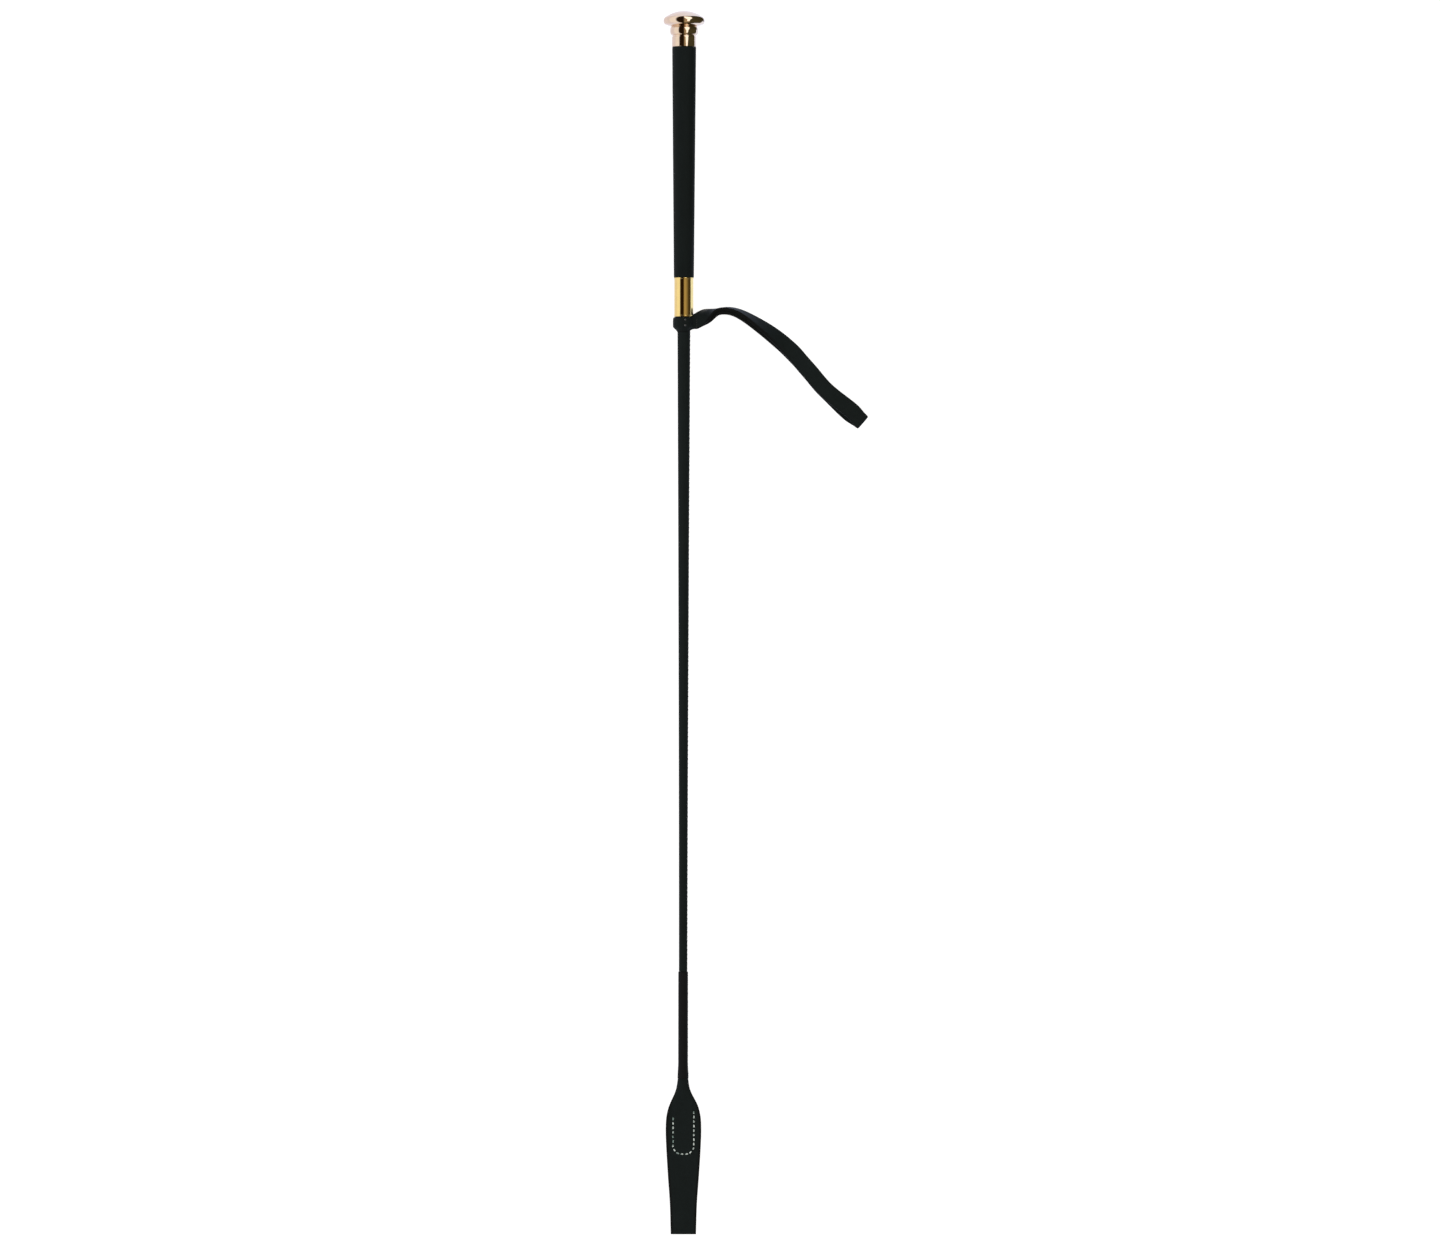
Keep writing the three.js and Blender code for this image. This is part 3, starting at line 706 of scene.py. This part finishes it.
class Curve:
    """Centripetal Catmull-Rom curve through points, measured by its length."""

    def __init__(self, points, samples=80):
        first = points[0] * 2 - points[1]
        last = points[-1] * 2 - points[-2]
        knots = [first, *points, last]
        self.spots = []
        for i in range(1, len(knots) - 2):
            for k in range(samples):
                self.spots.append(self.between(knots[i - 1:i + 3], k / samples))
        self.spots.append(points[-1])
        self.lengths = [0.0]
        for a, b in zip(self.spots, self.spots[1:]):
            self.lengths.append(self.lengths[-1] + (b - a).length)
        self.length = self.lengths[-1]

    @staticmethod
    def between(four, share):
        a, b, c, d = four
        ab, bc, cd = (math.sqrt((q - p).length) for p, q in ((a, b), (b, c), (c, d)))
        leaving = ((b - a) / ab - (c - a) / (ab + bc) + (c - b) / bc) * bc
        arriving = ((c - b) / bc - (d - b) / (bc + cd) + (d - c) / cd) * bc
        return hermite(b, c, leaving, arriving, share)

    def at(self, along):
        """The point and the direction at a distance along the curve."""
        along = min(max(along, 0.0), self.length)
        high = min(bisect.bisect_right(self.lengths, along), len(self.lengths) - 1)
        low = high - 1
        a, b = self.spots[low], self.spots[high]
        share = (along - self.lengths[low]) / (self.lengths[high] - self.lengths[low])
        return a.lerp(b, share), (b - a).normalized()


STRAP_PLAN = Curve([Vector((x, y, 0)) for x, y in (
    (6.4, -167.2), (12.8, -163.9), (20.4, -161.3), (27.8, -162), (41.4, -169.6), (56.8, -181.7),
    (67.8, -193.8), (75.8, -203.1), (96.2, -220.9),
)])
SWING_AT = 2.4
STRAP_SPLIT = 9.5


def strap_lean(along):
    """Lean of the strap away from lying flat: on edge where it turns away from the shaft."""
    peak, peak_at = math.radians(STRAP.peak_lean), STRAP.peak_at
    if along < peak_at:
        return peak * smoothstep(along, 0, peak_at)
    return peak * (1 - min((along - peak_at) / (STRAP.flat_at - peak_at), 1) ** 1.3)


def strap_half_gap(along):
    """Half the distance between the middles of the two arms."""
    opening = smoothstep(along, STRAP.open_from, STRAP.open_by)
    closing = smoothstep(along, STRAP.shut_from, STRAP_PLAN.length)
    closed = lerp(STRAP.tight, STRAP.end, closing)
    return lerp(closed, STRAP.open, opening * (1 - closing))


def strap_splay(along):
    """How far the two arms slip to either side of each other just before the fold."""
    return (STRAP.splay * smoothstep(along, STRAP.splay_from, STRAP.splay_by)
            * (1 - smoothstep(along, STRAP.splay_by, STRAP_PLAN.length)))


def strap_width(along):
    """The strap is pared a little narrower where it is sewn."""
    widened = smoothstep(along, STRAP.widens_from, STRAP.peak_at)
    return lerp(STRAP.root_width, STRAP.width, widened)


def strap_frame(along):
    """Middle of the strap, its direction, its upper side and its width direction."""
    spot, forward = STRAP_PLAN.at(along)
    outward = Vector((-forward.y, forward.x, 0))
    lean = strap_lean(along)
    up = Vector((0, 0, math.cos(lean))) + outward * math.sin(lean)
    across = forward.cross(up)
    resting = ((strap_half_gap(along) + STRAP.thickness / 2) * math.cos(lean)
               + strap_width(along) / 2 * math.sin(lean))
    height = lerp(shaft_axis_height(COLLAR.start), resting,
                  smoothstep(along, SWING_AT, STRAP.settled_at))
    return Vector((spot.x, spot.y, height)), forward, up, across


def shaft_axis_height(station):
    return head_z / MM - station * math.sin(slope)


def strap_section(along, turn):
    """Rounded outline of the strip across its length. `turn` goes from 0 to pi round the fold."""
    centre, forward, up, across = strap_frame(along)
    out = up * math.cos(turn) + forward * math.sin(turn)
    middle = centre + out * strap_half_gap(along) - across * (strap_splay(along) * math.cos(turn))
    half_width = strap_width(along) / 2
    return [
        middle + across * x + out * z for x, z in strip_outline(half_width, STRAP.thickness / 2)
    ]


def strip_outline(half_width, half_thick):
    """Section of cut leather: flat faces, slightly crowned, with burnished round edges."""
    edge = 0.5
    flat = half_width - edge
    top = []
    for x in spread(-flat, flat, 12):
        crown = 0.06 * (1 - (x / flat) ** 2)
        top.append((x, half_thick - 0.05 + crown))
    turn = []
    for i in range(1, 6):
        angle = math.pi / 2 - math.pi * i / 6
        turn.append((flat + edge * math.cos(angle), (half_thick - 0.05) * math.sin(angle)))
    right = top + turn
    return right + [(-x, -z) for x, z in right]


def painted_highlight_share(along, across, height):
    """Pale painted highlight on the upper arm's top edge, where the strap turns on to its edge and
    catches the light.
    """
    lengthwise = math.exp(-(((along - PAINTED_HIGHLIGHT_PATCH.middle) / PAINTED_HIGHLIGHT_PATCH.half_length) ** 2))
    crosswise = smoothstep(-across, PAINTED_HIGHLIGHT_PATCH.starts, PAINTED_HIGHLIGHT_PATCH.full)
    return lengthwise * crosswise * (height > 0)


def strap_piece(name, rings, upper_marks):
    """A length of strap. Its first rings are the upper arm's, at the distances given."""
    half_width = STRAP.width / 2
    outline = strip_outline(half_width, 1.0)
    # The strap's edges are darkened: edge paint and painted shade.
    edge_paint_and_shade_mask = [smoothstep(abs(x), half_width - 0.75, half_width - 0.1) for x, _ in outline]
    edge_paint_and_shade = edge_paint_and_shade_mask * len(rings)
    # Painted highlight on the upper arm, where the strap turns on to its edge.
    painted_highlight = [painted_highlight_share(along, *point) for along in upper_marks for point in outline]
    painted_highlight += [0.0] * (len(edge_paint_and_shade) - len(painted_highlight))
    return loft(name, rings, table_matrix, 60.0, edge_paint_and_shade, painted_highlight)


def strap_point(along):
    return table_matrix @ strap_frame(along)[0]


def to_table(spot):
    """A point of the rod, in the millimetres that the strap is made in."""
    return table_matrix.inverted() @ (rod_matrix @ spot)


WRAP_CREASES = (math.radians(113), math.radians(135))
CREASE_HALF_ANGLE = math.radians(2.4)


def wrap_section(angle):
    """Outline of the strip at one angle round the shaft. It thins down to a foot on the shaft."""
    half_width = (COLLAR.end - COLLAR.start) / 2
    middle = (COLLAR.end + COLLAR.start) / 2
    creased = sum(math.exp(-(((angle - a) / CREASE_HALF_ANGLE) ** 2)) for a in WRAP_CREASES)
    ring = []
    for across, out in strip_outline(half_width, 1.0):
        fullness = smoothstep(half_width - across, 0, COLLAR.foot_length)
        to_top = min((half_width + across) / COLLAR.top_length, 1)
        outer = lerp(COLLAR.foot_radius, COLLAR.radius, fullness) - 0.14 * creased
        outer -= (COLLAR.radius - COLLAR.top_radius) * (1 - math.sqrt(1 - (1 - to_top) ** 2))
        reach = lerp(COLLAR.bore, outer, (out + 1) / 2)
        ring.append(to_table(polar(reach, angle, middle + across)))
    return ring


def joining_rings(round_ring, arm_ring, arm_forward, side, steps=12):
    """The strip between its wrap and an arm, as one smooth curve for each point of the outline."""
    leave = COLLAR.leave
    away = Vector((math.sin(leave), 0, -side * math.cos(leave)))
    half_width = (COLLAR.end - COLLAR.start) / 2
    notch = 0.9
    rings = []
    for i in range(1, steps):
        t = i / steps
        ring = []
        for start, end, (across, _) in zip(round_ring, arm_ring, strip_outline(half_width, 1.0)):
            pull = (end - start).length
            spot = hermite(start, end, away * pull, arm_forward * pull, t)
            lifted = notch * math.sin(math.pi * t) ** 2 * smoothstep(across, 1.0, half_width)
            ring.append(spot + Vector((0, lifted, 0)))
        rings.append(ring)
    return rings


def make_strap_root():
    """One strip: in along the upper arm, round the shaft and out along the lower arm."""
    sewn_at = -0.4
    arm_marks = spread(STRAP_SPLIT, sewn_at, 26)
    leave = COLLAR.leave
    round_rings = [wrap_section(angle) for angle in spread(leave, 2 * math.pi - leave, 96)]
    forward = strap_frame(sewn_at)[1]
    upper = [strap_section(max(along, 0), 0.0) for along in arm_marks]
    lower = [strap_section(max(along, 0), math.pi) for along in arm_marks]
    for ring_list in (upper, lower):
        ring_list[-1] = [spot + forward * sewn_at for spot in ring_list[-1]]
    rings = [
        *upper,
        *reversed(joining_rings(round_rings[0], upper[-1], forward, 1)),
        *round_rings,
        *joining_rings(round_rings[-1], lower[-1], forward, -1),
        *reversed(lower),
    ]
    root = strap_piece("strap_root_wrap", rings, arm_marks)
    finish_piece(root, strap_leather, "strap_leather", None,
                 "strap_collar", "strap_root_outer", "strap_root_inner")
    strap_point(0.3)
    strap_point(4.5)
    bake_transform(root)


def make_wrist_strap():
    """The hand loop: out along the upper arm, round the fold and back along the lower arm."""
    fold_at = STRAP_PLAN.length - STRAP.end
    marks = spread(STRAP_SPLIT, fold_at, 150)
    rings = [
        *(strap_section(along, 0.0) for along in marks),
        *(strap_section(fold_at, turn) for turn in spread(0, math.pi, 14)[1:-1]),
        *(strap_section(along, math.pi) for along in reversed(marks)),
    ]
    loop = strap_piece("wrist_strap", rings, marks)
    finish_piece(loop, strap_leather, "strap_leather", None, "wrist_strap_loop")
    strap_point(14.0)
    strap_point(20.5)
    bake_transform(loop)


def make_root_stitches():
    """Stitches across the tab, through both arms."""
    paths = []
    surface = STRAP.tight + STRAP.thickness / 2 + 0.02
    heading = Vector((0, 1, 0))
    for side in (1, -1):
        for i in range(ROOT_STITCHES.count):
            station = COLLAR.start + ROOT_STITCHES.first + ROOT_STITCHES.pitch * i
            centre = to_table(Vector((ROOT_STITCHES.out, -station, side * surface)))
            up = Vector((0, 0, side))
            paths.append(stitch_path(centre, heading, up, ROOT_STITCHES.length, 0.2, 0.12))
    stitches = many_tubes("strap_root_stitches", paths, 0.17, table_matrix, 8, 0.1, 5.0)
    finish_piece(stitches, black_thread, "black_thread", "crop", "strap_root_thread")


# ---- keeper ----

KEEPER_OUTLINE = Curve([Vector((along, half, 0)) for along, half in (
    (-6, 2.3), (-0.5, 2.9), (0.6, 3.05), (4.8, 3.7), (8, 4.85), (13, 7.25), (20, 9.15), (27, 9.6),
    (36, 9.35), (52, 8.4), (68, 7.3), (84, 6.83),
)])
KEEPER_SPREAD = math.radians(88.5)
KEEPER_NECK_FLAT = (3.0, 16.0)
KEEPER_SPLIT = 43.6

keeper_top = head_y - KEEPER.start * MM * math.cos(slope)
keeper_length = (keeper_top - cad_low.y) / MM
keeper_matrix = Matrix.Translation((axis_x, keeper_top, 0)) @ MILLIMETRES


def keeper_half_width(along):
    """Half the keeper's width, found on its outline by halving the distance along it."""
    low, high = 0.0, KEEPER_OUTLINE.length
    for _ in range(24):
        middle = (low + high) / 2
        if KEEPER_OUTLINE.at(middle)[0].x < along:
            low = middle
        else:
            high = middle
    return KEEPER_OUTLINE.at(low)[0].y


def tongue_bulge(x, along):
    """How far the front leaf is pushed up by the tongue under it."""
    across = 1 - smoothstep(abs(x), TONGUE.half_width, TONGUE.edge)
    lengthwise = 1 - smoothstep(along, TONGUE.end, TONGUE.gone)
    return TONGUE.thickness * across * lengthwise


def stitch_groove(x, along):
    """Depth of the channel that the stitching lies in."""
    share = distance_to_stitching(x, along) / STITCHING.groove_width
    return STITCHING.groove_depth * math.exp(-(share ** 2))


def distance_to_stitching(x, along):
    """Distance from a point of the leaf to the U-shaped line of stitching."""
    half, end, corner = STITCHING.half_width, STITCHING.end, STITCHING.corner
    start = STITCHING.right_start if x > 0 else STITCHING.left_start
    x = abs(x)
    if along > end - corner and x > half - corner:
        return abs(math.hypot(x - half + corner, along - end + corner) - corner)
    if along > end - corner:
        return abs(along - end)
    if along < start:
        return math.hypot(x - half, start - along)
    return min(abs(x - half), abs(end - along))


def leaf_point(side, u, depth, along, half_width):
    """A point of a leaf: u runs across from -1 to 1, depth from 0 inside to 1 outside."""
    flat = smoothstep(along, *KEEPER_NECK_FLAT)
    neck = keeper_neck_radius(along)
    radius = neck - KEEPER.leaf * (1 - depth)
    round_x = math.sin(u * KEEPER_SPREAD) * radius / neck
    x = lerp(round_x, u, flat) * half_width
    shift = KEEPER.off_centre * flat
    round_z = KEEPER.neck_height + side * radius * math.cos(u * KEEPER_SPREAD)
    inner = KEEPER.leaf
    if side > 0:
        inner += KEEPER.gap + tongue_bulge(x, along)
    sunk = stitch_groove(x, along) * depth
    flat_z = inner + side * (depth * KEEPER.leaf - sunk)
    return Vector((x + shift, -along, lerp(round_z, flat_z, flat)))


def keeper_neck_radius(along):
    """Radius of the round neck, which slips into the end of the tip wrap."""
    return lerp(2.25, KEEPER.neck_radius, smoothstep(along, -0.6, 0.4))


def leaf_edge(direction, edge, round_end):
    """Place across, depth and edge darkening (edge paint and painted shade) of the points on a
    leaf's right (1) or left (-1) edge.
    """
    marks = []
    for i in range(1, 6):
        angle = math.pi / 2 - math.pi * i / 6
        u = direction * (1 - edge + edge * math.cos(angle))
        marks.append((u, 0.5 + direction * (0.5 - round_end) * math.sin(angle), 1.0))
    return marks


def leaf_ring(side, along, round_end):
    """Outline of a leaf across its length, with round edges darkened by edge paint and painted
    shade.
    """
    half_width = keeper_half_width(along)
    edge = min(KEEPER.edge, 0.25 * half_width) / half_width
    flat = 1 - edge
    outside = 1 - round_end
    marks = [
        *((u, outside, smoothstep(abs(u), 1 - 3 * edge, flat)) for u in spread(-flat, flat, 30)),
        *leaf_edge(1, edge, round_end),
        *((u, round_end, 0.0) for u in spread(flat, -flat, 15)),
        *leaf_edge(-1, edge, round_end),
    ]
    ring = [leaf_point(side, u, depth, along, half_width) for u, depth, _ in marks]
    return ring, [edge_paint_and_shade for _, _, edge_paint_and_shade in marks]


def leaf_piece(name, side, start, end, step, rounded_end):
    """One leaf between two distances down the keeper. Its cut end is rounded if asked."""
    count = round((end - start) / step)
    reach, depth = 0.4, 0.3
    stations = [(along, 0.0) for along in spread(start, end - reach, count)]
    if rounded_end:
        for share in (0.35, 0.65, 0.87, 1.0):
            drop = depth * (1 - math.sqrt(1 - share ** 2))
            stations.append((end - reach + reach * share, drop))
    else:
        stations.append((end, 0.0))
    rings = []
    edge_paint_and_shade = []
    for along, round_end in stations:
        ring, ring_edge_paint_and_shade = leaf_ring(side, along, round_end)
        rings.append(ring)
        # The rounded cut end is darkened too: edge paint and painted shade.
        edge_paint_and_shade += [max(w, min(1.0, 4 * round_end)) for w in ring_edge_paint_and_shade]
    return loft(name, rings, keeper_matrix, 50.0, edge_paint_and_shade)


def make_keeper():
    for side, name, leaf_node, flap_node in (
        (1, "front", "keeper_front_leaf", "keeper_front_flap"),
        (-1, "back", "keeper_back_leaf", "keeper_back_flap"),
    ):
        sewn = leaf_piece(f"keeper_{name}_sewn", side, -4.0, KEEPER_SPLIT, 0.4, False)
        finish_piece(sewn, keeper_leather, "keeper_leather", None, leaf_node)
        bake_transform(sewn)
        flap = leaf_piece(f"keeper_{name}_end", side, KEEPER_SPLIT, keeper_length, 0.8, True)
        finish_piece(flap, keeper_leather, "keeper_leather", None, flap_node)
        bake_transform(flap)


def stitching_marks():
    """Middle and direction of each stitch along the U, from the left end to the right."""
    half, end, corner = STITCHING.half_width, STITCHING.end, STITCHING.corner
    left = end - corner - STITCHING.left_start
    right = end - corner - STITCHING.right_start
    bend = math.pi / 2 * corner
    bottom = 2 * (half - corner)
    pitch = (left + right + 2 * bend + bottom) / STITCHING.count
    marks = []
    for i in range(STITCHING.count):
        run = pitch * (i + 0.5)
        from_right = left + right + 2 * bend + bottom - run
        if run < left + bend:
            marks.append(mark_on_side(run, left, -1))
        elif from_right < right + bend:
            marks.append(mark_on_side(from_right, right, 1))
        else:
            marks.append(((run - left - bend - bottom / 2, end), (1, 0)))
    return marks


def mark_on_side(run, straight, side):
    """Point and direction on one side of the U, at a distance from its open end."""
    half, end, corner = STITCHING.half_width, STITCHING.end, STITCHING.corner
    if run < straight:
        return (side * half, end - corner - straight + run), (0, 1)
    angle = (run - straight) / corner
    out, down = math.cos(angle), math.sin(angle)
    spot = (side * (half - corner + corner * out), end - corner + corner * down)
    return spot, (-side * down, out)


def make_keeper_stitches():
    """Hand-sewn stitches: they differ a little in length, height and direction."""
    paths = []
    for side in (1, -1):
        for i, ((x, along), (dx, down)) in enumerate(stitching_marks()):
            half_width = keeper_half_width(along)
            uneven = math.sin(2.7 * i + 0.6)
            x += 0.06 * uneven
            surface = leaf_point(side, x / half_width, 1.0, along, half_width)
            rise, sink = (0.42 + 0.1 * uneven, 0.2) if side > 0 else (0.12, 0.06)
            heading = Vector((dx + 0.12 * math.sin(1.9 * i), -down, 0)).normalized()
            length = STITCHING.length + 0.18 * math.sin(4.1 * i)
            paths.append(stitch_path(surface, heading, Vector((0, 0, side)), length, rise, sink))
    radius = STITCHING.radius
    stitches = many_tubes("keeper_u_stitches", paths, radius, keeper_matrix, 12, 0.12, 7.0)
    for vertex in stitches.data.vertices:
        vertex.co.z = max(vertex.co.z, 0.0)
    finish_piece(stitches, white_thread, "white_thread", "keeper", "keeper_stitching")


# ---- hidden CAD parts ----


def dress_hidden_parts():
    for node, material in (("cap_shank", steel), ("handle_former", beech),
                           ("shaft_core", fibreglass), ("keeper_tongue", undyed_leather)):
        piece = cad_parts[node]
        piece.data.materials.clear()
        piece.data.materials.append(material)


# ---- studio ----


def stage_piece(name, vertices, faces, material, *unseen_by):
    """A piece of the studio, and the kinds of ray that don't see it."""
    mesh = bpy.data.meshes.new(name)
    mesh.from_pydata(vertices, [], faces)
    mesh.materials.append(material)
    piece = bpy.data.objects.new(name, mesh)
    for ray in unseen_by:
        setattr(piece, "visible_" + ray, False)
    bpy.context.scene.collection.objects.link(piece)


def glowing(name, colour, strength, diffuse):
    shader = Shader(name, from_rest=False)
    shader.set(Base_Color=(diffuse, diffuse, diffuse, 1), Roughness=0.95, Specular_IOR_Level=0.0,
               Emission_Color=(*colour, 1), Emission_Strength=strength)
    return shader.material


# Metres, but millimetres for the strip in which the mirrored table's two tints blend.
TABLE = Sizes(half=40.0, seen_depth=0.0001, mirrored_depth=0.0002, blend_half_width=25)


def table_corners(depth):
    half = TABLE.half
    return [(x * half, y * half, -depth) for x, y in ((-1, -1), (1, -1), (1, 1), (-1, 1))]


def make_floor():
    """A plain white table, lit from below as a lightbox is, and very wide. The metal mirrors
    a second one just under it, which is a little dimmer on the left."""
    stage_piece("floor", table_corners(TABLE.seen_depth), [(0, 1, 2, 3)],
                glowing("white_table", (1, 1, 1), 0.82, 0.36), "diffuse", "glossy")
    mirrored = Shader("mirrored_table", from_rest=False)
    across = mirrored.add("ShaderNodeSeparateXYZ", {0: mirrored.place}).outputs["X"]
    middle, reach = axis_x / MM, TABLE.blend_half_width
    share = mirrored.remap(across, middle - reach, middle + reach)
    glow = mirrored.blend_colours(share, (0.92, 0.905, 1.03), (1.0, 1.13, 1.45))
    mirrored.set(Base_Color=(0, 0, 0, 1), Emission_Color=glow, Emission_Strength=1.0,
                 Specular_IOR_Level=0.0)
    stage_piece("mirrored_table", table_corners(TABLE.mirrored_depth), [(0, 1, 2, 3)],
                mirrored.material, "camera", "diffuse", "shadow")


def make_backdrop():
    """A white wall all round, which only the camera sees."""
    radius, foot, height, sides = 12.0, -1.0, 12.0, 48
    points = []
    for z in (foot, height):
        for i in range(sides):
            angle = 2 * math.pi * i / sides
            points.append((radius * math.cos(angle), radius * math.sin(angle), z))
    stage_piece("backdrop", points, skin_faces(2, sides)[:-2],
                glowing("white_wall", (1, 1, 1), 1.05, 0.0),
                "diffuse", "glossy", "shadow", "transmission")


CARD_YELLOW = (1.0, 0.9, 0.42)
# Corners of the head panel: metres beyond the top of the head, and the angles from upright,
# in degrees to the right, of its near and far edges there.
HEAD_PANEL = ((-0.115, 18, 33), (-0.02, 18, 33), (0.05, 5, 45), (0.33, -8, 58))
HEAD_PANEL_HEIGHT = 0.15
HEAD_CARD_FOOT = 0.035


def make_card(name, corners, faces, colour, strength):
    """A glowing card that only shows in the metal."""
    stage_piece(name, corners, faces, glowing(name, colour, strength, 0.0),
                "camera", "diffuse", "shadow", "transmission")


def make_head_panel():
    """A white panel above the head, which widens away from the handle, and a dark card that
    slants down from its far edge to the table. The metal of the head mirrors them."""
    height = HEAD_PANEL_HEIGHT
    near, far, foot = [], [], []
    for along, *angles in HEAD_PANEL:
        reach = [(height - head_z) * math.tan(math.radians(angle)) for angle in angles]
        near.append((axis_x + reach[0], head_y + along, height))
        far.append((axis_x + reach[1], head_y + along, height))
        foot.append((axis_x + HEAD_CARD_FOOT, head_y + along, 0))
    count = len(HEAD_PANEL)
    faces = [(i, i + 1, count + i + 1, count + i) for i in range(count - 1)]
    make_card("head_panel", near + far, faces, (1.0, 1.0, 1.0), 1.6)
    make_card("head_card", far + foot, faces, CARD_YELLOW, 0.066)


def make_rim_cards():
    """Two small dark cards below and to the right of the cap, which its rim mirrors."""
    left, right, top = axis_x - 0.006, axis_x + 0.05, 0.03
    below = head_y - 0.04
    beside = axis_x + 0.022
    low, high = head_y - 0.0078, head_y + 0.05
    corners = [
        (left, below, 0), (right, below, 0), (right, below, top), (left, below, top),
        (beside, low, 0), (beside, high, 0), (beside, high, top), (beside, low, top),
    ]
    make_card("rim_cards", corners, [(0, 1, 2, 3), (4, 5, 6, 7)], CARD_YELLOW, 0.05)


COOL = (1.0, 1.0, 1.02)
WARM = (1.0, 0.78, 0.46)
EMBER = (1.0, 0.5, 0.2)
# Angle from upright in degrees, to the right, with the tint and brightness there.
SKY_BANDS = (
    (-180, COOL, 1.05),
    (-50, COOL, 1.05),
    (-42, EMBER, 0.025),
    (-4, EMBER, 0.016),
    (6, WARM, 0.44),
    (20, WARM, 0.44),
    (42, WARM, 0.24),
    (55, WARM, 0.08),
    (92, WARM, 0.045),
    (180, WARM, 0.045),
)


def make_sky():
    """Studio surroundings in long bands beside the rod: a big white panel on the left, a dark
    ceiling, a narrow bright strip and a dimmer warm panel on the right."""
    world = bpy.data.worlds.new("studio")
    world.use_nodes = True
    nodes = Nodes(world.node_tree)
    direction = nodes.add("ShaderNodeTexCoord").outputs["Generated"]
    parts = nodes.add("ShaderNodeSeparateXYZ", {0: direction}).outputs
    angle = nodes.add("ShaderNodeMath", {0: parts["X"], 1: parts["Z"]}, operation="ARCTAN2")
    share = nodes.remap(angle.outputs[0], -math.pi, math.pi)
    ramp = nodes.add("ShaderNodeValToRGB", {"Fac": share})
    while len(ramp.color_ramp.elements) < len(SKY_BANDS):
        ramp.color_ramp.elements.new(0.5)
    for element, (degrees, tint, level) in zip(ramp.color_ramp.elements, SKY_BANDS):
        element.position = (degrees + 180) / 360
        element.color = (*(level * c for c in tint), 1)
    nodes.feed(nodes.tree.nodes["Background"].inputs["Color"], ramp.outputs["Color"])
    bpy.context.scene.world = world


def make_lights():
    """A broad overhead light for the leather. The metal doesn't mirror it."""
    light = bpy.data.lights.new("overhead", "SUN")
    light.energy = 3.0
    light.angle = math.radians(120)
    holder = bpy.data.objects.new("overhead", light)
    holder.rotation_euler = (math.radians(5), math.radians(5), 0)
    holder.visible_glossy = False
    bpy.context.scene.collection.objects.link(holder)


# ---- build ----

make_camera()
make_head_cap()
make_ferrule()
make_sleeves()
make_strap_root()
make_wrist_strap()
make_root_stitches()
make_tacks()
make_keeper()
make_keeper_stitches()
dress_hidden_parts()
make_floor()
make_backdrop()
make_head_panel()
make_rim_cards()
make_sky()
make_lights()

bpy.context.scene.view_settings.view_transform = "Standard"
